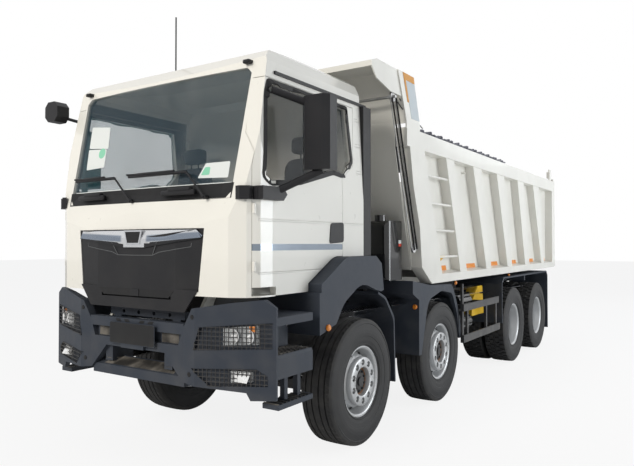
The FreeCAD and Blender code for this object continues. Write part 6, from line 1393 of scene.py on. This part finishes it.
@dataclass
class Nose:
    """Lamps, bolts, blank plate and treads of the bumper and the steps."""

    lamp_spots: Sequence[Flat] = ((0.935, 1.112), (1.045, 1.112))
    bolt_spots: Sequence[Flat] = ((0.63, 1.235), (0.6, 0.82), (-0.63, 1.235), (-0.6, 0.82))
    side_bolts: Sequence[Flat] = ((-1.32, 1.285), (-1.32, 0.85))
    plate: Sequence[Flat] = ((-0.255, 0.985), (0.255, 0.985), (0.255, 1.145), (-0.255, 1.145))
    inset: Sequence[Flat] = ((0.275, 1.022), (0.46, 1.022), (0.455, 1.094), (0.275, 1.094))
    slits: Sequence[float] = (0.05, 0.15)
    tread: Sequence[Flat] = ((-0.4, 0.795), (0.4, 0.795), (0.37, 0.84), (-0.37, 0.84))
    bowl: tuple[Flat, Flat] = ((0.868, 1.05), (1.105, 1.187))
    indicator: tuple[Flat, Flat] = ((1.055, 1.148), (1.1, 1.186))
    fog: tuple[Flat, Flat] = ((0.925, 0.795), (1.06, 0.858))
    ring: Sequence[Flat] = ((0, 0.052), (0.006, 0.052), (0.002, 0.046), (-0.004, 0.02), (0.008, 0.014),
                            (0.012, 0.006))

    def dress(self) -> None:
        """Adds the trim."""
        bumper, lamps = Skin("bumper"), Skin("lamps")
        bumper.patch("blank_plate", Facing.NOSE, rounded(self.plate, 0.015), "chassis", Shade.PLATE,
                     "black_plastic", proud=0.0008, cell=0.2)
        bumper.studs("bumper_bolts", Facing.NOSE, self.bolt_spots, 0.017, "chassis", Shade.SEAL)
        for side, sign in SIDES.items():
            bumper.studs("bumper_side_bolts_" + side, Facing.beside(sign), behind_axle(self.side_bolts),
                         0.017, "chassis", Shade.SEAL)
            bumper.patch("bumper_inset_" + side, Facing.NOSE, mirrored(self.inset, sign), "chassis",
                         Shade.DUSTY, "black_plastic", proud=0.002, cell=0.2)
            self.lamp(side, sign, lamps)
            # Painted shade: dark strips over the slits above the plate stand in for the shade inside them.
            for index, spot in enumerate(self.slits):
                slit = [(spot, 1.15), (spot + 0.055, 1.15), (spot + 0.07, 1.172), (spot + 0.02, 1.172)]
                bumper.patch("plate_slit_%s_%d" % (side, index), Facing.NOSE, mirrored(slit, sign), "chassis",
                             Shade.SEAL, "black_plastic", proud=0.002, cell=0.2)
        bumper.patch("bumper_tread", Facing.NOSE, self.tread, "chassis", Shade.DUSTY, "black_plastic",
                     proud=0.002, cell=0.03)
        self.treads()
        log.info("bumper and steps")

    def lamp(self, side: str, sign: float, lamps: Skin) -> None:
        """Puts the reflectors and the indicator in one headlamp and a bowl in the fog lamp.

        Args:
            side: Side of the truck.
            sign: 1 on the left side and -1 on the right.
            lamps: Surface of the lamps.
        """
        bowl, indicator, fog = (mirrored(upright(*spot), sign)
                                for spot in (self.bowl, self.indicator, self.fog))
        lamps.patch("lamp_bowl_" + side, Facing.NOSE, bowl, "chassis", Shade.REFLECTOR, "lamp_glass",
                    cell=0.2)
        rings = Batch()
        for x, z in self.lamp_spots:
            spot = lamps.land(Facing.NOSE, (sign * x, z), 0.003)
            rings.turned(tuple(spot), (0, -1, 0), self.ring, 28)
        rings.make("lamp_rings_" + side, "chassis", Shade.GLASS_WHITE, "lamp_glass", True)
        lamps.patch("indicator_" + side, Facing.NOSE, indicator, "chassis", Shade.AMBER, "lamp_glass",
                    proud=0.008, cell=0.2)
        lamps.patch("fog_bowl_" + side, Facing.NOSE, fog, "chassis", Shade.GLASS_WHITE, "lamp_glass",
                    cell=0.2)

    def treads(self) -> None:
        """Lays the toothed treads on the steps below the doors."""
        batch = Batch()
        for sign in SIDES.values():
            for row in range(9):
                y = along(-1.315 + row * 0.046)
                for column in range(4):
                    x = 1.035 + column * 0.05
                    ends = sorted((sign * x, sign * (x + 0.034)))
                    batch.block((ends[0], y, 0.984), (ends[1], y + 0.03, 0.991), 0.002)
                ends = sorted((sign * 1.105, sign * 1.238))
                batch.block((ends[0], y, 0.6415), (ends[1], y + 0.012, 0.649), 0.002)
        batch.make("step_teeth", "chassis", Shade.DUSTY, "black_plastic")


@dataclass
class Body:
    """Reflectors, blank stickers, markers and tail lamps along the load body and the chassis."""

    bays: Sequence[Flat] = ((1.68, 2.05), (2.665, 3.06), (3.625, 4.02), (4.61, 4.98), (5.61, 6.03),
                            (6.55, 6.86))
    arch_marker: Flat = (-0.685, 1.108)
    fender_marker: Flat = (1.2, 1.118)
    reflector_low: float = 1.458
    reflector_high: float = 1.512
    stickers: Mapping[str, tuple[Flat, Flat, Shade]] = field(default_factory=lambda: {
        "sticker_slim": ((1.59, 1.69), (1.63, 1.79), Shade.YELLOW),
        "sticker_red": ((1.66, 1.65), (1.8, 1.695), Shade.SIGNAL),
        "sticker_low": ((1.66, 1.53), (1.8, 1.625), Shade.YELLOW)})
    stripe: Sequence[Flat] = ((0.66, 3.434), (0.912, 3.434), (0.931, 3.37), (0.725, 3.37), (0.803, 3.16),
                              (0.768, 3.16))
    panel: Sequence[Flat] = ((0.729, 3.366), (0.931, 3.366), (1.053, 3.012), (0.862, 3.012))
    tank_labels: Mapping[str, tuple[Flat, Flat, Shade]] = field(default_factory=lambda: {
        "upper": ((0.83, 1.765), (0.89, 1.8), Shade.LABEL),
        "lower": ((0.83, 1.735), (0.89, 1.765), Shade.SIGNAL)})
    ropes: Sequence[Sequence[Point]] = (
        ((1.229, 0.475, 3.15), (1.229, 0.975, 1.7)), ((1.229, 0.56, 3.16), (1.229, 1.035, 1.71)))
    cables: Sequence[Sequence[Point]] = (
        ((1.226, 0.6, 3.13), (1.224, 0.88, 3.0), (1.22, 1.14, 2.9)),
        ((1.226, 0.64, 3.17), (1.224, 0.92, 3.06), (1.22, 1.2, 2.97)))
    hung: Sequence[Flat] = ((2.212, 1.301), (4.396, 1.298))
    chambers: Sequence[tuple[Shade, float]] = ((Shade.RED, 0.84), (Shade.AMBER, 0.935), (Shade.RED, 1.025))

    def dress(self) -> None:
        """Adds the small parts."""
        skin, front, tank = Skin("bed_sides"), Skin("bed_front", "bed_sides"), Skin("tanks")
        for side, sign in SIDES.items():
            facing = Facing.beside(sign)
            for index, (start, end) in enumerate(self.bays):
                self.plate(skin, "bay_reflector_%s_%d" % (side, index), facing, (start, self.reflector_low),
                           (end, self.reflector_high), Shade.ORANGE)
            for name, (low, high, shade) in self.stickers.items():
                self.plate(skin, "%s_%s" % (name, side), facing, low, high, shade)
            self.marker_lamps(side, facing)
            self.tail(side, sign)
        for side, sign in SIDES.items():
            for name, outline, shade, proud in (("panel", self.panel, Shade.SILVER, 0.002),
                                                ("stripe", self.stripe, Shade.AMBER_TAPE, 0.004)):
                front.patch("canopy_%s_%s" % (name, side), Facing.beside(sign), behind_axle(outline), "bed",
                            shade, "safety_yellow", proud=proud, wall=proud + 0.001, cell=0.2)
        self.drive()
        for name, (low, high, shade) in self.tank_labels.items():
            tank.patch("tank_label_" + name, Facing.LEFT, behind_axle(upright(low, high)), "chassis", shade,
                       "lamp_glass", proud=0.002, wall=0.003, cell=0.2)
        log.info("load body trim")

    def drive(self) -> None:
        """Runs the ropes and the cables of the tarpaulin drive down from its upper pulley."""
        ropes, cables = Batch(), Batch()
        for path in self.ropes:
            ropes.tube([(x, along(y), z) for x, y, z in path], 0.009)
        for path in self.cables:
            cables.tube(curve_through([(x, along(y), z) for x, y, z in path]), 0.005)
        ropes.make("drive_ropes", "bed", Shade.SEAL, "dark_trim", True)
        cables.make("drive_cables", "bed", Shade.SEAL, "dark_trim", True)

    @staticmethod
    def plate(skin: Skin, name: str, facing: Facing, low: Flat, high: Flat, shade: Shade) -> None:
        """Lays one upright sticker given by two corners behind the first axle."""
        skin.patch(name, facing, behind_axle(upright(low, high)), "bed", shade, "safety_yellow",
                   proud=0.002, wall=0.003, cell=0.2)

    def marker_lamps(self, side: str, facing: Facing) -> None:
        """Puts the amber side markers on one side."""
        sign = facing.value[1]
        spots = (("cab_arches", "cab", facing, (along(self.arch_marker[0]), self.arch_marker[1])),
                 ("mudguards", "chassis", Facing.NOSE, (sign * self.fender_marker[0], self.fender_marker[1])))
        for index, (node, body, way, spot) in enumerate(spots):
            Skin(node).studs("side_marker_%s_%d" % (side, index), way, [spot], 0.026, body,
                             Shade.AMBER, 18, 0.022)
        batch, stays = Batch(), Batch()
        ends = sorted((sign * 1.172, sign * 1.19))
        for reach, height in self.hung:
            batch.dome((sign * 1.19, along(reach), height), (sign, 0, 0), 0.026, 0.022)
            stays.block((ends[0], along(reach) - 0.02, height - 0.02),
                        (ends[1], along(reach) + 0.02, 1.352), 0.003)
        batch.make("hung_markers_" + side, "bed", Shade.AMBER, "lamp_glass", True)
        stays.make("marker_stays_" + side, "bed", Shade.BLACK, "black_plastic")

    def tail(self, side: str, sign: float) -> None:
        """Sets the chambers of one tail lamp."""
        for index, (shade, start) in enumerate(self.chambers):
            ends = sorted((sign * start, sign * (start + 0.085)))
            batch = Batch()
            batch.block((ends[0], along(7.026), 0.91), (ends[1], along(7.034), 1.075), 0.003)
            batch.make("tail_lens_%s_%d" % (side, index), "chassis", shade, "lamp_glass")


@dataclass
class Soft:
    """Bunched tarpaulin over the load body and the cushions of the seats."""

    tarp_front: float = 1.2
    tarp_rear: float = 4.25
    tarp_half: float = 1.205
    tarp_low: float = 2.918
    fold: float = 0.102
    swell: float = 0.062
    seat_middle: float = 0.69
    pads: Mapping[str, tuple[Point, Flat]] = field(default_factory=lambda: {
        "seat_cushion_": ((0.245, -0.638, 1.935), (-0.14, 2.058)),
        "seat_back_": ((0.235, -0.247, 2.05), (-0.133, 2.55)),
        "head_rest_": ((0.15, -0.24, 2.57), (-0.14, 2.735))})
    fill: float = 0.6

    def dress(self) -> None:
        """Builds the tarpaulin and the seats."""
        self.tarp()
        for side, sign in SIDES.items():
            self.seat(side, sign)
        log.info("tarpaulin and seats")

    def tarp(self) -> None:
        """Lays the tarpaulin in folds across the body, drawn back along its rails."""
        folds = int((self.tarp_rear - self.tarp_front) / self.fold)
        rows, columns = folds * 10, 40
        points, faces = [], []
        for i in range(rows + 1):
            turn = 2 * math.pi * folds * i / rows
            for j in range(columns + 1):
                across = -1.0 + 2.0 * j / columns
                drift = (0.35 * math.sin(across * 3.0 + turn * 0.13)
                         + 0.2 * math.sin(across * 9.0 + turn * 0.31))
                lift = 0.5 - 0.5 * math.cos(turn + drift)
                size = self.swell * (0.82 + 0.18 * math.sin(turn * 0.37 + across * 2.0))
                slack = 0.012 * math.sin(turn * 2.0 + drift)
                y = self.tarp_front + (self.tarp_rear - self.tarp_front) * i / rows + slack
                lift = 1.0 - (1.0 - lift) * (1.0 - 0.6 * abs(across) ** 6)
                points.append((self.tarp_half * across, along(min(max(y, self.tarp_front), self.tarp_rear)),
                               self.tarp_low + lift * size))
        wide = columns + 1
        for i in range(rows):
            for j in range(columns):
                start = i * wide + j
                faces.append((start, start + 1, start + wide + 1, start + wide))
        item = piece("tarpaulin", points, faces, "bed", Shade.TARP, True)
        wrap = item.modifiers.new("wall", "SOLIDIFY")
        wrap.thickness = 0.0015
        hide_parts("tarp")

    def seat(self, side: str, sign: float) -> None:
        """Builds one seat from a cushion, a back, a head rest and its pedestal.

        Args:
            side: Side of the cab.
            sign: 1 on the left side and -1 on the right.
        """
        middle = sign * self.seat_middle
        for name, ((half, front, low), (rear, high)) in self.pads.items():
            bm = bmesh.new()
            bmesh.ops.create_cube(bm, size=1.0)
            bmesh.ops.subdivide_edges(bm, edges=bm.edges[:], cuts=9, use_grid_fill=True)
            sizes = (half * 2, rear - front, high - low)
            centre = (middle, along((front + rear) / 2), (low + high) / 2)
            for vert in bm.verts:
                near = [2.0 * c for c in vert.co]
                swell = 1.0
                for c in near:
                    swell *= 1.0 - 0.06 * c ** 4
                for i in range(3):
                    others = [near[k] for k in range(3) if k != i]
                    edge = 1.0 - 0.16 * max(abs(others[0]), abs(others[1])) ** 5
                    near[i] *= edge * swell
                vert.co = [centre[i] + near[i] * sizes[i] / 2 * 0.995 for i in range(3)]
            mesh = bpy.data.meshes.new(name + side)
            bmesh.ops.recalc_face_normals(bm, faces=bm.faces[:])
            bm.to_mesh(mesh)
            bm.free()
            item = settle(placed(name + side, mesh), "cab", Shade.SEAT, True)
            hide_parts("seats")
        stand = Batch()
        stand.block((middle - 0.15, along(-0.39), 1.712), (middle + 0.15, along(-0.17), 1.94), 0.02)
        for spot in (-0.05, 0.05):
            stand.tube([(middle + spot, along(-0.19), 2.5), (middle + spot, along(-0.19), 2.6)], 0.007)
        item = stand.make("seat_stand_" + side, "cab", Shade.BLACK, "black_plastic")
        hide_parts("seats")


# Scene
@dataclass
class Studio:
    """Camera, floor and light."""

    camera_spot: Point = (3.790, -7.532, 1.763)
    yaw: float = 33.487
    pitch: float = 1.02
    lens: float = 34.416
    sky: float = 0.36
    floor_half: float = 60.0
    floor_white: float = 0.86
    sky_white: float = 0.8
    aim: Point = (0.0, 0.0, 1.5)
    warm: Colour = (1.0, 0.955, 0.88)
    cool: Colour = (0.93, 0.97, 1.0)

    def build(self) -> None:
        """Builds the camera, the lights and the floor."""
        self.camera()
        self.world()
        self.floor()
        lamps = (("key_light", (-1.0, -17.0, 8.0), 1450.0, 5.0, self.warm),
                 ("side_light", (12.0, 4.0, 3.4), 860.0, 8.0, self.cool),
                 ("back_light", (4.0, 12.0, 8.0), 160.0, 8.0, self.cool),
                 ("top_light", (0.0, 0.0, 12.0), 50.0, 9.0, self.cool))
        for name, spot, power, size, colour in lamps:
            light = bpy.data.lights.new(name, "AREA")
            light.energy = power
            light.color = colour
            light.shape = "DISK"
            light.size = size
            item = placed(name, light)
            item.location = spot
            item.visible_glossy = name != "key_light"
            item.rotation_mode = "QUATERNION"
            item.rotation_quaternion = (Vector(self.aim) - Vector(spot)).to_track_quat("-Z", "Y")

    def camera(self) -> None:
        """Places the camera where the photograph was taken from."""
        data = bpy.data.cameras.new("photo_camera")
        data.lens = self.lens
        data.sensor_width = 36.0
        data.clip_end = 300.0
        item = placed("photo_camera", data)
        yaw, pitch = math.radians(self.yaw), math.radians(self.pitch)
        way = Vector((-math.sin(yaw) * math.cos(pitch), math.cos(yaw) * math.cos(pitch), math.sin(pitch)))
        item.location = self.camera_spot
        item.rotation_mode = "QUATERNION"
        item.rotation_quaternion = way.to_track_quat("-Z", "Y")
        bpy.context.scene.camera = item

    def world(self) -> None:
        """Makes a soft sky that is white behind the truck."""
        world = bpy.data.worlds.new("soft_sky")
        bpy.context.scene.world = world
        world.use_nodes = True
        nodes = Nodes(world.node_tree, "ShaderNodeOutputWorld")
        plain = nodes.node("ShaderNodeBackground", None, {0: (0.93, 0.96, 1.0), 1: self.sky})
        white = nodes.node("ShaderNodeBackground", None, {0: (1.0, 1.0, 1.0), 1: 1.0})
        mirrored_sky = nodes.node("ShaderNodeLightPath", output="Is Glossy Ray") * self.sky_white
        nodes.blend(nodes.seen(1.0).top(mirrored_sky), plain, white)

    def floor(self) -> None:
        """Lays the pale floor."""
        graph = Graph("pale_floor")
        graph.finish(base_color=(0.82, 0.82, 0.82), roughness=0.9)
        glow = graph.node("ShaderNodeEmission", None, {0: (1.0, 1.0, 1.0), 1: 1.0})
        graph.blend(graph.seen(self.floor_white), Value(graph, graph.shader.outputs[0]), glow)
        half = self.floor_half
        mesh = bpy.data.meshes.new("floor")
        corners = [(x, y, 0.0) for x, y in upright((-half, -half), (half, half))]
        mesh.from_pydata(corners, [], [(0, 1, 2, 3)])
        mesh.materials.append(graph.material)
        placed("floor", mesh)


@dataclass
class Finishes:
    """Finish of every CAD node that is shown."""

    shades: Sequence[tuple[str, Shade]] = (
        ("tyre_", Shade.TYRE), ("rim_", Shade.RIM), ("knuckle_", Shade.CASTING), ("axles", Shade.CASTING),
        ("springs", Shade.CHASSIS), ("frame", Shade.CHASSIS), ("engine", Shade.CASTING),
        ("cab_shell", Shade.CAB), ("windscreen", Shade.SCREEN), ("door_glass_", Shade.SIDE_GLASS),
        ("door_", Shade.CAB), ("mirror_", Shade.BLACK), ("grille", Shade.BLACK), ("cab_trim", Shade.BLACK),
        ("cab_arches", Shade.SLATE), ("cab_interior", Shade.BLACK), ("seats", Shade.SEAT),
        ("bumper", Shade.SLATE), ("lamps", Shade.CLEAR), ("lamp_guards", Shade.CHASSIS),
        ("steps", Shade.SLATE), ("mudguards", Shade.SLATE), ("tanks", Shade.GLOSS),
        ("fuel_tank", Shade.ALLOY), ("side_guards", Shade.CHASSIS), ("underrun", Shade.CHASSIS),
        ("chocks", Shade.YELLOW), ("bed_fittings", Shade.BED), ("bed_floor", Shade.BED_FLOOR),
        ("bed_", Shade.BED), ("tarp_drive", Shade.STEEL), ("tarp", Shade.TARP), ("tailgate", Shade.BED),
        ("cylinder_barrel", Shade.CHASSIS), ("cylinder_", Shade.CHROME))

    def dress(self) -> None:
        """Gives every node its finish."""
        for name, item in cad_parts.items():
            shade = next(s for start, s in self.shades if name.startswith(start))
            item.data.materials.clear()
            item.data.materials.append(shade.material())
        log.info("finishes on %d nodes", len(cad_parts))


def main() -> None:
    """Builds and reports every part of the scene."""
    logging.basicConfig(level=logging.INFO, format="%(message)s")
    bpy.context.scene.view_settings.view_transform = "Standard"
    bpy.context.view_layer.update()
    Studio().build()
    Finishes().dress()
    for part in (Tyres(), Wheels(), Cab(), Face(), Nose(), Body(), Soft()):
        part.dress()


if __name__ == "__main__":
    main()
